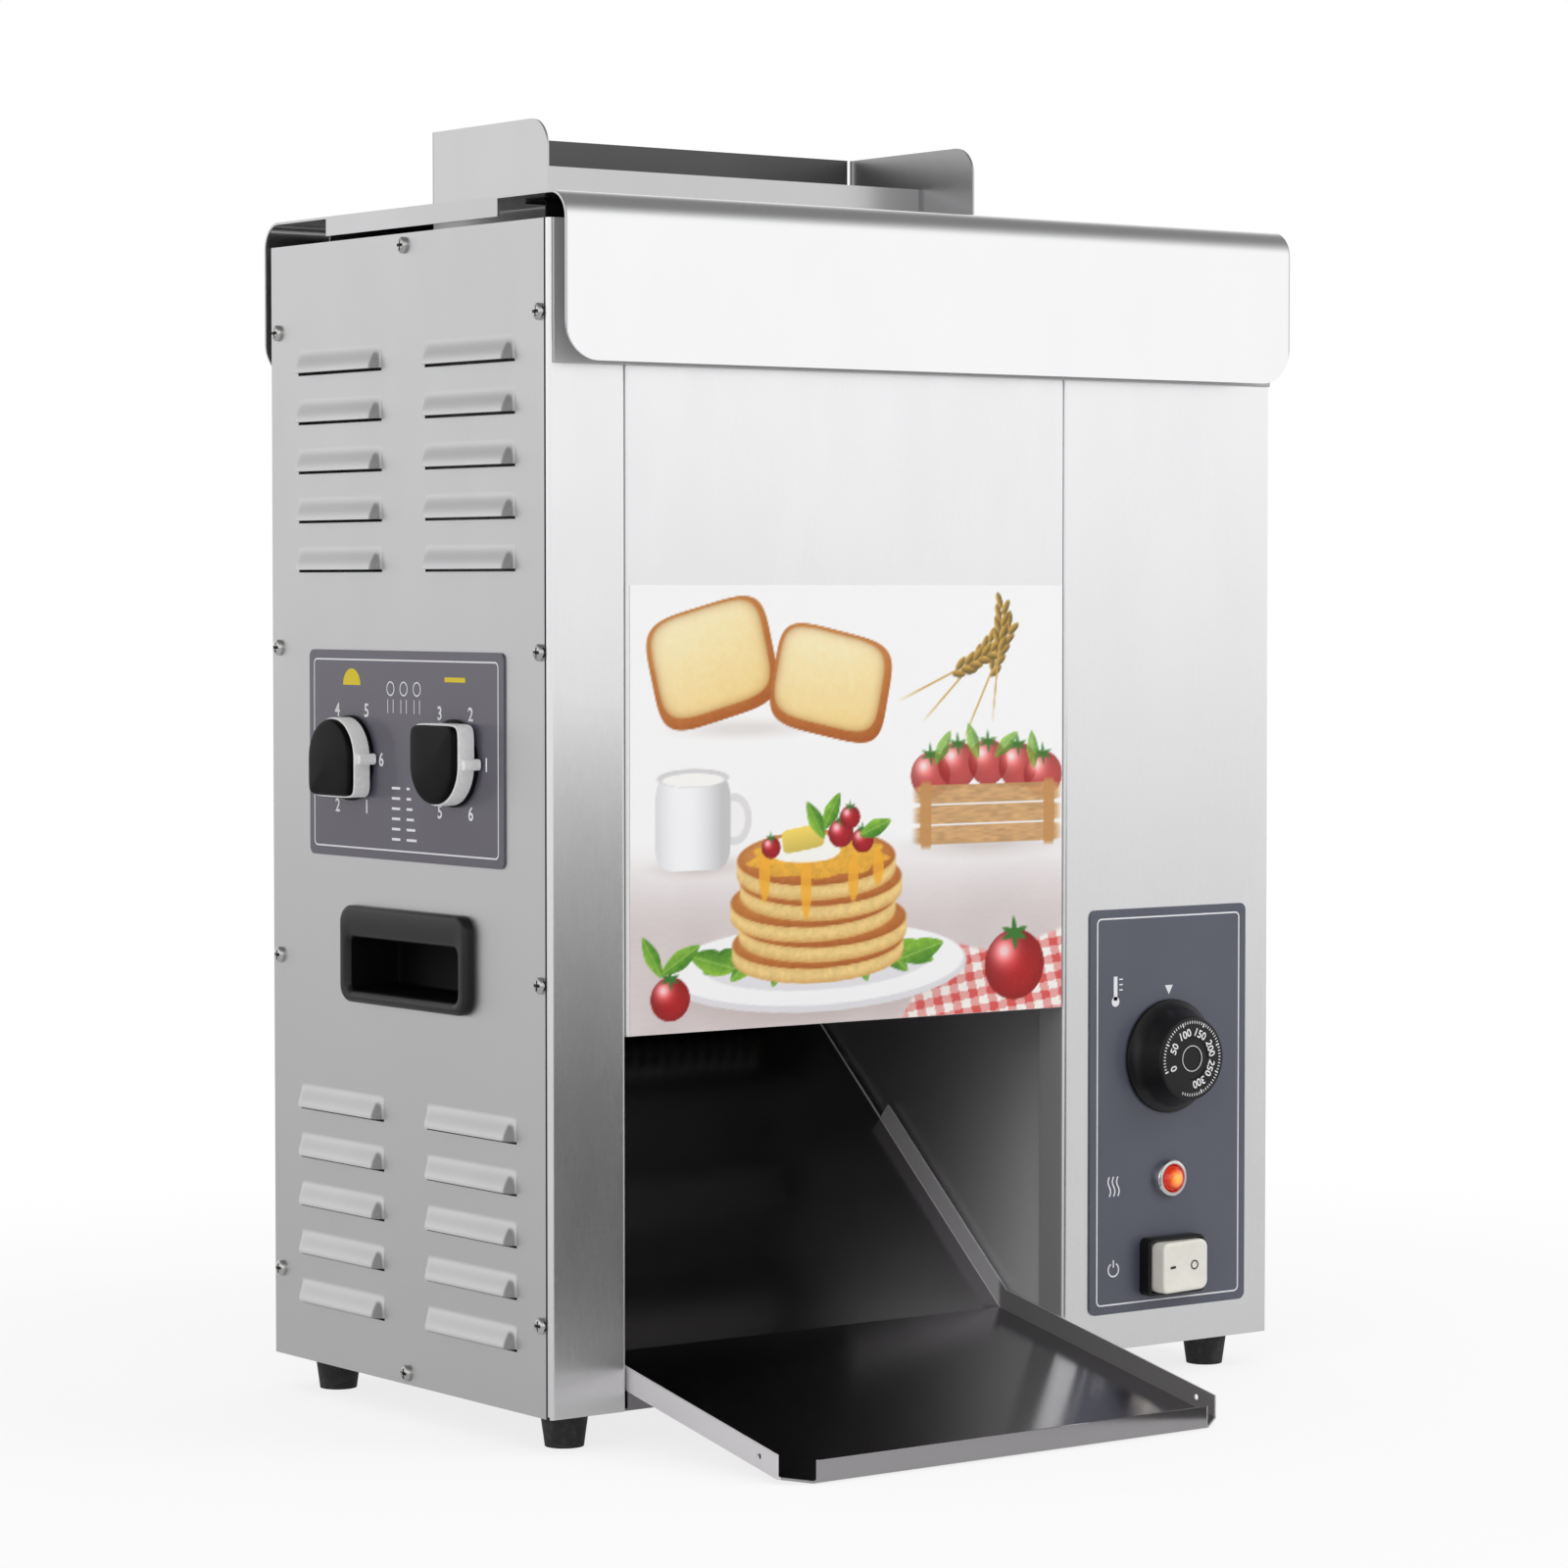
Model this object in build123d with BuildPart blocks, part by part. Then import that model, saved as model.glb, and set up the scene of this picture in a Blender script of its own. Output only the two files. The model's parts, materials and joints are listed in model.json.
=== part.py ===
from build123d import *
import math
import os

# Vertical contact bun toaster: bun halves drop in at the top on both sides of a heated platen,
# two endless belts carry them down, and they slide out over the chute and landing tray.
# All places are measured in millimetres from the lower front left corner of the body:
# to the right, back from the front face, and up from the underside.

# Body shell
body_width = 470
body_depth = 262
side_height = 584
left_column_width = 45
right_column_width = 145
opening_height = 185
sheet = 1.2
lap_gap = 0.2
bend = 1.8
column_wrap = 2.8
column_flange = 14
jamb_depth = 20
edge_flange = 16
bulkhead_flange = 12
panel_return = 12
header_drop = 70
header_thickness = 1.6
header_inset = 2

# Hood over the top
hood_rise = 13
hood_front_overhang = 15
hood_back_overhang = 7
hood_skirt = 82
hood_bend = 13
hood_corner_radius = 19
hood_end_front = 45
hood_end_back_inset = 55.5
hood_end_drop = 10
rail_foot = 12
rail_width = 30
rail_inset = 20

# Feet
foot_height = 18
foot_top_radius = 12.25
foot_bottom_radius = 9.75
foot_inset = 24
foot_stud_radius = 2.5
foot_stud_tip = 1.5
foot_nut_radius = 5
foot_nut_height = 3.5
hex_sides = 6
small_sides = 8

# Panel screws
screw_radius = 2
screw_head_radius = 3.5
screw_head_height = 2.2
screw_tip = 2
screw_front_inset = 8
screw_back_inset = 7
screw_height_shares = (0.0781, 0.363, 0.6404, 0.923)
screw_top_drop = 6

# Pressed louvres in the side panels
louvre_front_margin = 29.75
louvre_back_margin = 27.25
louvre_gap = 41
louvre_height = 13
louvre_depth = 5.5
louvre_end_slope = 9
louvre_lip = 4.5
louvre_pitch = 25.6
louvre_rows = 5
louvre_columns = 2
louvre_lower_share = 0.0517
louvre_upper_share = 0.7086

# Carry handles let into the side panels
handle_length = 120
handle_height = 50
handle_corner = 8
handle_rim = 9.5
handle_rim_thickness = 5.5
handle_wall = 1.8
handle_depth = 26
handle_front_place = 68
handle_bottom_share = 0.3293
handle_grip_drop = 9
handle_grip_depth = 9

# Printed plates
plate_thickness = 1
plate_corner = 4
side_plate_back_margin = 39
side_plate_height = 106.5
side_plate_front_place = 39
side_plate_knob_drop = 51
front_plate_width = 110
front_plate_height = 215.5
front_plate_bottom_place = 19.5
graphic_thickness = 0.4
graphic_margin = 2
graphic_height = 221.5

# Controls on the front plate
dial_height_place = 155
dial_skirt_radius = 30.5
dial_face_radius = 22.5
dial_skirt_thickness = 3
dial_neck_radius = 25.5
dial_reach = 19
dial_gap = 0.8
spindle_radius = 3
spindle_reach = 16
thermostat_width = 38
thermostat_height = 34
thermostat_depth = 30
thermostat_nut_radius = 8
thermostat_corner = 2.5
thermostat_bore_clearance = 0.4
lamp_height_place = 89.5
lamp_ring_radius = 10.5
lamp_ring_reach = 4.5
lamp_ring_chamfer = 1.5
lamp_lens_radius = 7
lamp_lens_reach = 8.5
lamp_lens_dome = 4
lamp_body_radius = 6.2
lamp_body_length = 24
lamp_clearance = 0.15
lamp_floor = 1
switch_height_place = 43
switch_width = 40
switch_height = 31
switch_reach = 8
switch_body_depth = 24
switch_wall = 1.7
switch_overhang = 1
rocker_gap = 0.4
rocker_radius = 17.9
rocker_centre_reach = 9.2
rocker_end_reach = 11.6
rocker_back_depth = 1.8
rocker_tilt = 7
rocker_pivot_depth = 4.5
rocker_pin_radius = 1.5
rocker_pin_length = 1.1
rocker_pin_clearance = 0.15

# Compression knobs and their snail cams
knob_height_share = 0.5445
heel_knob_place = 83
crown_knob_inset = 81
knob_radius = 22
knob_reach = 16
knob_gap = 0.8
knob_skirt_thickness = 3
knob_grip_radius = 21
knob_flat_share = 0.94
knob_square_share = 0.9
knob_nub_length = 3
knob_nub_width = 6
knob_bore_depth = 11
cam_shaft_radius = 4
cam_shaft_end_clearance = 0.3
cam_small_radius = 12
cam_travel = 10
cam_turn_angle = 300
cam_lead_in_angle = 15
cam_thickness = 8
cam_place = 18
cam_hub_radius = 8
cam_hub_length = 12
cam_steps = 24
follower_radius = 4
follower_gap = 0.35

# Pressure plates inside the belt loops
pressure_plate_thickness = 3
pressure_plate_lower_gap = 37
pressure_plate_upper_gap = 42
pressure_plate_gap = 2
pressure_plate_side_inset = 4
pressure_ear_height = 10
pressure_ear_shares = (0.39, 0.92)
pressure_slot_clearance = 0.8
pressure_ear_reach = 3
arm_place = 34
arm_thickness = 3
arm_width = 11
plate_rib_depth = 6

# Belts and their shafts
platen_share = 0.44
heel_belt_centre = 52
crown_belt_inset = 60
belt_inset = 15
roller_radius = 22.5
belt_gap = 0.4
belt_thickness = 1.6
belt_rib_height = 1.5
belt_rib_width = 3
belt_rib_count = 22
belt_end_rib_count = 3
belt_end_rib_angle = 90
lower_shaft_rise = 40
upper_shaft_drop = 54
shaft_radius = 5
running_gap = 0.12
wheel_width = 14
wheel_count = 3
drum_inset = 3
bush_radius = 8
bush_length = 3.2
shaft_tail = 4

# Gear train beside the right bulkhead
gear_teeth = 25
pinion_teeth = 18
gear_width = 8
gear_wall_gap = 7.4
gear_steps = 3
gear_backlash = 0.36
gear_hub_radius = 9
gear_hub_length = 4
pressure_angle = 20
root_share = 1.25
idler_head_radius = 8
idler_head_thickness = 2
idler_foot_radius = 7
idler_pin_clearance = 0.6
pinion_drop_pitches = 6
motor_shaft_radius = 4
motor_shaft_engagement = 10

# Motor
bracket_thickness = 2
bracket_length = 96
bracket_height = 54
bracket_spacer_radius = 4
bracket_spacer_inset = 7
bracket_gap = 2.5
bracket_drop = 9
gearbox_length = 62
gearbox_height = 46
gearbox_depth = 28
gearbox_corner = 6
motor_radius = 24
motor_length = 52
motor_cap_length = 8
motor_cap_radius = 16

# Heated platen
platen_thickness = 22
platen_lower_reach = 20
platen_upper_reach = 25
platen_side_gap = 6
platen_nose = 7
element_radius = 4
element_clearance = 0.1
element_places = (0.2, 0.5, 0.8)
element_cold_end = 22
element_end_margin = 14
platen_bolt_radius = 4
platen_bolt_head_radius = 7
platen_bolt_head_height = 4
platen_bolt_depth = 14
platen_bolt_inset = 22

# Landing tray with its chute
tray_reach = 134
tray_side_gap = 1.2
tray_crease_place = 50
tray_crease_height = 20.5
tray_slope = 11.4
chute_slope = 41.3
chute_end_inset = 34
tray_lip = 11
tray_side_lip_end = 122
chute_lip_inset = 107
tray_corner_width = 17
tray_bend = 1.5
chute_rod_radius = 4
chute_rod_inset = 67
seat_gap = 0.3
tray_hole_radius = 1.6
tray_hole_place = 108

# Bun feeder on top
feeder_overlap = 21
feeder_top = 641
feeder_divider_top = 621
feeder_left_inset = 3.1
feeder_right_inset = 2.4
feeder_corner = 15
feeder_slit = 2.5
hood_hole_margin = 2.1
deck_hole_margin = 3.5

# Back of the machine
gland_inset = 50
gland_height_place = 62
gland_reach = 10
gland_radius = 11
gland_chamfer = 3.6
gland_bore_radius = 4.5
gland_thread_radius = 8
gland_nut_thickness = 4
gland_inner_length = 8
terminal_width = 44
terminal_height = 24
terminal_depth = 18
terminal_gap = 0.2
terminal_rise = 34
terminal_slot = 6
terminal_slot_depth = 9
terminal_ways = 3
vent_length = 46
vent_height = 4
vent_pitch = 12
vent_rows = 8
vent_bottom_place = 300
vent_margin = 62
shaft_hole_clearance = 3
over = 6

# Places worked out from the sizes above
left = -(body_width - knob_reach + louvre_depth) / 2
front = (tray_reach - body_depth - gland_reach) / 2
base = foot_height
half = sheet / 2
inside = sheet + lap_gap
opening_width = body_width - left_column_width - right_column_width
opening_left = left_column_width
opening_right = left_column_width + opening_width
opening_centre = (opening_left + opening_right) / 2
hood_top = side_height + hood_rise
deck_front = jamb_depth + lap_gap
deck_back = body_depth - column_flange - lap_gap
deck_under = side_height - sheet - lap_gap
left_wall = opening_left - sheet - lap_gap
right_wall = opening_right + sheet + lap_gap
bulkhead_front = sheet + bend
gear_place = right_wall + sheet + gear_wall_gap
controls_place = body_width - right_column_width / 2
belt_width = opening_width - 2 * belt_inset
crown_belt_centre = body_depth - crown_belt_inset
belt_centres_apart = crown_belt_centre - heel_belt_centre
gear_module = belt_centres_apart / (gear_steps * gear_teeth)
platen_centre = heel_belt_centre + platen_share * belt_centres_apart
crown_knob_place = body_depth - crown_knob_inset
chute_end_place = body_depth - chute_end_inset
chute_lip_end_place = body_depth - chute_lip_inset
chute_rod_place = body_depth - chute_rod_inset
feeder_front = heel_belt_centre + feeder_overlap
feeder_back = crown_belt_centre - feeder_overlap
feeder_left = opening_left + feeder_left_inset
feeder_right = opening_right - feeder_right_inset
hood_end_back = body_depth - hood_end_back_inset
louvre_room = body_depth - louvre_front_margin - louvre_back_margin
louvre_length = (louvre_room - louvre_gap) / 2
louvre_front_place = louvre_front_margin + louvre_length / 2
louvre_column_pitch = louvre_length + louvre_gap
side_plate_length = body_depth - side_plate_front_place - side_plate_back_margin
knob_height_place = knob_height_share * side_height
side_plate_bottom_place = knob_height_place - side_plate_knob_drop
handle_bottom_place = handle_bottom_share * side_height
louvre_lower_place = louvre_lower_share * side_height
louvre_upper_place = louvre_upper_share * side_height
lower_shaft_height = opening_height + lower_shaft_rise
upper_shaft_height = side_height - upper_shaft_drop
platen_bottom = lower_shaft_height - platen_lower_reach
platen_height = upper_shaft_height + platen_upper_reach - platen_bottom
pressure_plate_bottom = lower_shaft_height + pressure_plate_lower_gap
pressure_plate_height = upper_shaft_height - pressure_plate_upper_gap - pressure_plate_bottom
pressure_ear_places = [pressure_plate_bottom + share * pressure_plate_height
                       for share in pressure_ear_shares]
gland_place = body_width - gland_inset
belt_outer = roller_radius + belt_gap + belt_thickness + belt_rib_height
belt_left = opening_left + belt_inset


def across(x):
    """Upright plane that faces right: its own axes run back and up."""
    return Plane(origin=(left + x, front, base), x_dir=(0, 1, 0), z_dir=(1, 0, 0))


def facing(y):
    """Upright plane that faces the front: its own axes run right and up."""
    return Plane(origin=(left, front + y, base), x_dir=(1, 0, 0), z_dir=(0, -1, 0))


def level(z):
    """Level plane: its own axes run right and back."""
    return Plane(origin=(left, front, base + z), x_dir=(1, 0, 0), z_dir=(0, 0, 1))


def mid_side(x):
    """Mirror image of a place across the middle of the body."""
    return body_width - x


# Screws hold each side panel to the columns, the back panel, the deck and the base pan
side_screw_places = [(y, share * side_height)
                     for y in (screw_front_inset, body_depth - screw_back_inset)
                     for share in screw_height_shares]
side_screw_places += [(body_depth / 2, side_height - screw_top_drop), (body_depth / 2, screw_top_drop)]
foot_places = [(x, y) for x in (foot_inset, body_width - foot_inset)
               for y in (foot_inset, body_depth - foot_inset)]


# Base pan with side flanges and a low front flange that the landing tray rests on
tray_fall = math.tan(math.radians(tray_slope))
chute_rise = math.tan(math.radians(chute_slope))
tray_under_drop = sheet / math.cos(math.radians(tray_slope))
pan_lip_top = tray_crease_height - (tray_crease_place - inside) * tray_fall - tray_under_drop - seat_gap
with BuildPart() as base_pan:
    with BuildSketch(facing(deck_back)):
        with BuildLine():
            FilletPolyline(
                (inside + half, edge_flange),
                (inside + half, half),
                (mid_side(inside + half), half),
                (mid_side(inside + half), edge_flange),
                radius=bend,
            )
        trace(line_width=sheet)
    extrude(amount=deck_back - deck_front)
    with BuildSketch(level(0)):
        with Locations((body_width / 2, (inside + body_depth) / 2)):
            Rectangle(body_width - 2 * inside, body_depth - inside)
    extrude(amount=sheet)
    with BuildSketch(level(0)):
        with Locations((opening_centre, inside + half)):
            Rectangle(opening_width - 2 * (sheet + lap_gap), sheet)
    extrude(amount=pan_lip_top)
    with BuildSketch(level(-over)):
        with Locations(foot_places):
            RegularPolygon(foot_stud_radius + lap_gap, small_sides)
    extrude(amount=2 * over, mode=Mode.SUBTRACT)
    with BuildSketch(across(-over)):
        with Locations(side_screw_places):
            RegularPolygon(screw_radius + lap_gap, small_sides)
    extrude(amount=body_width + 2 * over, mode=Mode.SUBTRACT)
base_pan.part.label = "base_pan"
export_step(base_pan.part, "parts/base_pan.step")


# Left front column: face strip, wrapped outer edge, flange under the side panel and opening jamb
with BuildPart() as left_front_column:
    with BuildSketch(level(0)):
        with BuildLine():
            FilletPolyline(
                (half, column_wrap),
                (half, half),
                (opening_left - half, half),
                (opening_left - half, jamb_depth),
                radius=bend,
            )
        trace(line_width=sheet)
        with Locations((inside + half, (half + column_flange) / 2)):
            Rectangle(sheet, column_flange - half)
    extrude(amount=side_height)
    with BuildSketch(level(0)):
        with Locations((opening_left / 2, inside + jamb_depth / 2)):
            Rectangle(opening_left + 2 * over, jamb_depth)
    extrude(amount=inside, mode=Mode.SUBTRACT)
    with BuildSketch(across(-over)):
        with Locations(side_screw_places):
            RegularPolygon(screw_radius + lap_gap, small_sides)
    extrude(amount=opening_left / 2, mode=Mode.SUBTRACT)
left_front_column.part.label = "left_front_column"
export_step(left_front_column.part, "parts/left_front_column.step")


# Right front column, wide enough for the controls
switch_cut_width = switch_width - 2 * switch_overhang
switch_cut_height = switch_height - 2 * switch_overhang
with BuildPart() as right_front_column:
    with BuildSketch(level(0)):
        with BuildLine():
            FilletPolyline(
                (mid_side(half), column_wrap),
                (mid_side(half), half),
                (opening_right + half, half),
                (opening_right + half, jamb_depth),
                radius=bend,
            )
        trace(line_width=sheet)
        with Locations((mid_side(inside + half), (half + column_flange) / 2)):
            Rectangle(sheet, column_flange - half)
    extrude(amount=side_height)
    with BuildSketch(level(0)):
        with Locations(((opening_right + body_width) / 2, inside + jamb_depth / 2)):
            Rectangle(body_width - opening_right + 2 * over, jamb_depth)
    extrude(amount=inside, mode=Mode.SUBTRACT)
    with BuildSketch(across(body_width - opening_left / 2)):
        with Locations(side_screw_places):
            RegularPolygon(screw_radius + lap_gap, small_sides)
    extrude(amount=opening_left, mode=Mode.SUBTRACT)
    with BuildSketch(facing(sheet + over)):
        with Locations((controls_place, dial_height_place)):
            Circle(thermostat_nut_radius + lap_gap)
        with Locations((controls_place, lamp_height_place)):
            Circle(lamp_body_radius + lamp_clearance)
        with Locations((controls_place, switch_height_place)):
            Rectangle(switch_cut_width + 2 * lap_gap, switch_cut_height + 2 * lap_gap)
    extrude(amount=2 * over, mode=Mode.SUBTRACT)
right_front_column.part.label = "right_front_column"
export_step(right_front_column.part, "parts/right_front_column.step")


# Front panel between the columns, with side returns and a folded bottom edge
with BuildPart() as front_panel:
    with BuildSketch(level(opening_height)):
        with BuildLine():
            FilletPolyline(
                (opening_left + lap_gap + half, panel_return),
                (opening_left + lap_gap + half, half),
                (opening_right - lap_gap - half, half),
                (opening_right - lap_gap - half, panel_return),
                radius=bend,
            )
        trace(line_width=sheet)
    extrude(amount=side_height - opening_height)
    with BuildSketch(level(opening_height)):
        with Locations((opening_centre, (half + panel_return) / 2)):
            Rectangle(opening_width - 2 * lap_gap - sheet, panel_return - half)
    extrude(amount=sheet)
front_panel.part.label = "front_panel"
export_step(front_panel.part, "parts/front_panel.step")


# Printed sheet stuck on the lower half of the front panel
with BuildPart() as graphic_sheet:
    with BuildSketch(facing(0)):
        with Locations((opening_centre, opening_height + graphic_height / 2 + lap_gap)):
            Rectangle(opening_width - 2 * graphic_margin, graphic_height)
    extrude(amount=graphic_thickness)
graphic_sheet.part.label = "graphic_sheet"
export_step(graphic_sheet.part, "parts/graphic_sheet.step")


# Header strip across the top of the front, behind the hood's flange
with BuildPart() as front_header:
    with BuildSketch(facing(-lap_gap)):
        with Locations((body_width / 2, side_height - header_drop / 2)):
            Rectangle(body_width - 2 * header_inset, header_drop)
    extrude(amount=header_thickness)
    fillet(front_header.edges().filter_by(Axis.X).group_by(Axis.Y)[0], radius=header_thickness / 2)
front_header.part.label = "front_header"
export_step(front_header.part, "parts/front_header.step")


# Bulkheads on both sides of the toasting space
shaft_places = [(y, z) for y in (heel_belt_centre, crown_belt_centre)
                for z in (lower_shaft_height, upper_shaft_height)]
platen_bolt_places = [
    (platen_centre, platen_bottom + platen_bolt_inset),
    (platen_centre, platen_bottom + platen_height - platen_bolt_inset),
]
element_heights = [platen_bottom + share * platen_height for share in element_places]
heel_plate_rest = (heel_belt_centre + belt_outer - belt_rib_height - belt_thickness
                   - pressure_plate_gap - cam_travel - pressure_plate_thickness)
crown_plate_rest = crown_belt_centre - belt_outer + belt_rib_height + belt_thickness + pressure_plate_gap
ear_slot_length = pressure_plate_thickness + cam_travel + 2 * pressure_slot_clearance
ear_slot_height = pressure_ear_height + 2 * pressure_slot_clearance
slot_centres = [(rest + (pressure_plate_thickness + cam_travel) / 2, z + pressure_ear_height / 2)
                for rest in (heel_plate_rest, crown_plate_rest) for z in pressure_ear_places]
knob_places = [(heel_knob_place, knob_height_place), (crown_knob_place, knob_height_place)]
idler_places = [heel_belt_centre + gear_module * gear_teeth * step for step in (1, 2)]
chute_rod_height = (tray_crease_height + (chute_rod_place - tray_crease_place) * chute_rise
                    - (chute_rod_radius + sheet + seat_gap) / math.cos(math.radians(chute_slope)))
pinion_angle = -math.radians(pinion_drop_pitches * 360 / gear_teeth)
pinion_distance = gear_module * (gear_teeth + pinion_teeth) / 2
pinion_y = idler_places[0] + pinion_distance * math.cos(pinion_angle)
pinion_z = lower_shaft_height + pinion_distance * math.sin(pinion_angle)
bracket_z = pinion_z - bracket_drop
spacer_places = [(pinion_y + sy * (bracket_length / 2 - bracket_spacer_inset),
                  bracket_z + sz * (bracket_height / 2 - bracket_spacer_inset))
                 for sy in (-1, 1) for sz in (-1, 1)]


with BuildPart() as left_bulkhead:
    with BuildSketch(facing(body_depth - inside)):
        with BuildLine():
            FilletPolyline(
                (left_wall - bulkhead_flange, inside + half),
                (left_wall - half, inside + half),
                (left_wall - half, deck_under - half),
                (left_wall - bulkhead_flange, deck_under - half),
                radius=bend,
            )
        trace(line_width=sheet)
    extrude(amount=body_depth - inside - bulkhead_front)
    with BuildSketch(across(left_wall - 2 * sheet)):
        with Locations(shaft_places):
            RegularPolygon(bush_radius + lap_gap, small_sides)
        with Locations(platen_bolt_places):
            RegularPolygon(platen_bolt_radius + lap_gap, small_sides)
        with Locations(slot_centres):
            Rectangle(ear_slot_length, ear_slot_height)
        with Locations(knob_places):
            Circle(cam_shaft_radius + running_gap)
        with Locations((chute_rod_place, chute_rod_height)):
            RegularPolygon(chute_rod_radius + 2 * lap_gap, small_sides)
    extrude(amount=over, mode=Mode.SUBTRACT)
left_bulkhead.part.label = "left_bulkhead"
export_step(left_bulkhead.part, "parts/left_bulkhead.step")


with BuildPart() as right_bulkhead:
    with BuildSketch(facing(body_depth - inside)):
        with BuildLine():
            FilletPolyline(
                (right_wall + bulkhead_flange, inside + half),
                (right_wall + half, inside + half),
                (right_wall + half, deck_under - half),
                (right_wall + bulkhead_flange, deck_under - half),
                radius=bend,
            )
        trace(line_width=sheet)
    extrude(amount=body_depth - inside - bulkhead_front)
    with BuildSketch(across(right_wall - sheet)):
        with Locations(shaft_places):
            RegularPolygon(bush_radius + lap_gap, small_sides)
        with Locations(platen_bolt_places):
            RegularPolygon(platen_bolt_radius + lap_gap, small_sides)
        with Locations(slot_centres):
            Rectangle(ear_slot_length, ear_slot_height)
        with Locations([(y, lower_shaft_height) for y in idler_places]):
            RegularPolygon(shaft_radius + idler_pin_clearance, small_sides)
        with Locations([(platen_centre, z) for z in element_heights]):
            Circle(element_radius + element_clearance)
        with Locations((chute_rod_place, chute_rod_height)):
            RegularPolygon(chute_rod_radius + 2 * lap_gap, small_sides)
    extrude(amount=over, mode=Mode.SUBTRACT)
right_bulkhead.part.label = "right_bulkhead"
export_step(right_bulkhead.part, "parts/right_bulkhead.step")


# Back panel with side flanges, two groups of vent slots and the hole for the cord gland
with BuildPart() as back_panel:
    with BuildSketch(level(inside)):
        with BuildLine():
            FilletPolyline(
                (inside + half, body_depth - column_flange),
                (inside + half, body_depth - half),
                (mid_side(inside + half), body_depth - half),
                (mid_side(inside + half), body_depth - column_flange),
                radius=bend,
            )
        trace(line_width=sheet)
    extrude(amount=side_height - inside)
    with BuildSketch(facing(body_depth + over)):
        for middle in (vent_margin, body_width / 2, body_width - vent_margin):
            with Locations((middle, vent_bottom_place + vent_pitch * vent_rows / 2)):
                with GridLocations(vent_length, vent_pitch, 1, vent_rows):
                    Rectangle(vent_length, vent_height)
        with Locations((gland_place, gland_height_place)):
            Circle(gland_thread_radius + lap_gap)
    extrude(amount=2 * over, mode=Mode.SUBTRACT)
    with BuildSketch(across(-over)):
        with Locations(side_screw_places):
            RegularPolygon(screw_radius + lap_gap, small_sides)
    extrude(amount=body_width + 2 * over, mode=Mode.SUBTRACT)
back_panel.part.label = "back_panel"
export_step(back_panel.part, "parts/back_panel.step")


# Top deck under the hood, open over the toasting space
deck_hole_left = feeder_left + deck_hole_margin
deck_hole_right = feeder_right - deck_hole_margin
deck_hole_front = feeder_front + deck_hole_margin
deck_hole_back = feeder_back - deck_hole_margin
with BuildPart() as top_deck:
    with BuildSketch(facing(deck_back)):
        with BuildLine():
            FilletPolyline(
                (inside + half, side_height - edge_flange),
                (inside + half, side_height - half),
                (mid_side(inside + half), side_height - half),
                (mid_side(inside + half), side_height - edge_flange),
                radius=bend,
            )
        trace(line_width=sheet)
    extrude(amount=deck_back - deck_front)
    with BuildSketch(level(side_height - over)):
        with Locations(((deck_hole_left + deck_hole_right) / 2, (deck_hole_front + deck_hole_back) / 2)):
            Rectangle(deck_hole_right - deck_hole_left, deck_hole_back - deck_hole_front)
    extrude(amount=2 * over, mode=Mode.SUBTRACT)
    with BuildSketch(across(-over)):
        with Locations(side_screw_places):
            RegularPolygon(screw_radius + lap_gap, small_sides)
    extrude(amount=body_width + 2 * over, mode=Mode.SUBTRACT)
top_deck.part.label = "top_deck"
export_step(top_deck.part, "parts/top_deck.step")


# Two stepped rails that carry the hood above the deck
rail_low = side_height + half
rail_high = hood_top - sheet - lap_gap - half
with BuildPart() as hood_rails:
    with BuildSketch(across(rail_inset)):
        for start, way in ((deck_front, 1), (deck_back, -1)):
            with BuildLine():
                FilletPolyline(
                    (start, rail_low),
                    (start + way * rail_foot, rail_low),
                    (start + way * rail_foot, rail_high),
                    (start + way * rail_width, rail_high),
                    radius=bend,
                )
            trace(line_width=sheet)
    extrude(amount=body_width - 2 * rail_inset)
hood_rails.part.label = "hood_rails"
export_step(hood_rails.part, "parts/hood_rails.step")


# Hood: one sheet bent over front and back, rounded skirt corners, short folded ends
with BuildPart() as hood:
    with BuildSketch(across(0)):
        with BuildLine():
            FilletPolyline(
                (half - hood_front_overhang, hood_top - hood_skirt),
                (half - hood_front_overhang, hood_top - half),
                (body_depth + hood_back_overhang - half, hood_top - half),
                (body_depth + hood_back_overhang - half, hood_top - hood_skirt),
                radius=hood_bend,
            )
        trace(line_width=sheet)
    extrude(amount=body_width)
    fillet(hood.edges().filter_by(Axis.Y).group_by(Axis.Z)[0], radius=hood_corner_radius)
    with BuildSketch(facing(hood_end_back)):
        with Locations((half, hood_top - hood_end_drop / 2), (mid_side(half), hood_top - hood_end_drop / 2)):
            Rectangle(sheet, hood_end_drop)
    extrude(amount=hood_end_back - hood_end_front)
    with BuildSketch(level(hood_top - over)):
        with Locations(((feeder_left + feeder_right) / 2, (feeder_front + feeder_back) / 2)):
            Rectangle(feeder_right - feeder_left + 2 * hood_hole_margin,
                      feeder_back - feeder_front + 2 * hood_hole_margin)
    extrude(amount=2 * over, mode=Mode.SUBTRACT)
hood.part.label = "hood"
export_step(hood.part, "parts/hood.step")


# Side panels: flat sheets with rows of pressed louvres, screw holes and a handle cut-out
handle_cut_length = handle_length - 2 * handle_rim + 2 * lap_gap
handle_cut_height = handle_height - 2 * handle_rim + 2 * lap_gap
handle_centre = (handle_front_place + handle_length / 2, handle_bottom_place + handle_height / 2)
louvre_places = [
    (louvre_front_place + column * louvre_column_pitch, bottom + row * louvre_pitch)
    for bottom in (louvre_lower_place, louvre_upper_place)
    for row in range(louvre_rows)
    for column in range(louvre_columns)
]


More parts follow.
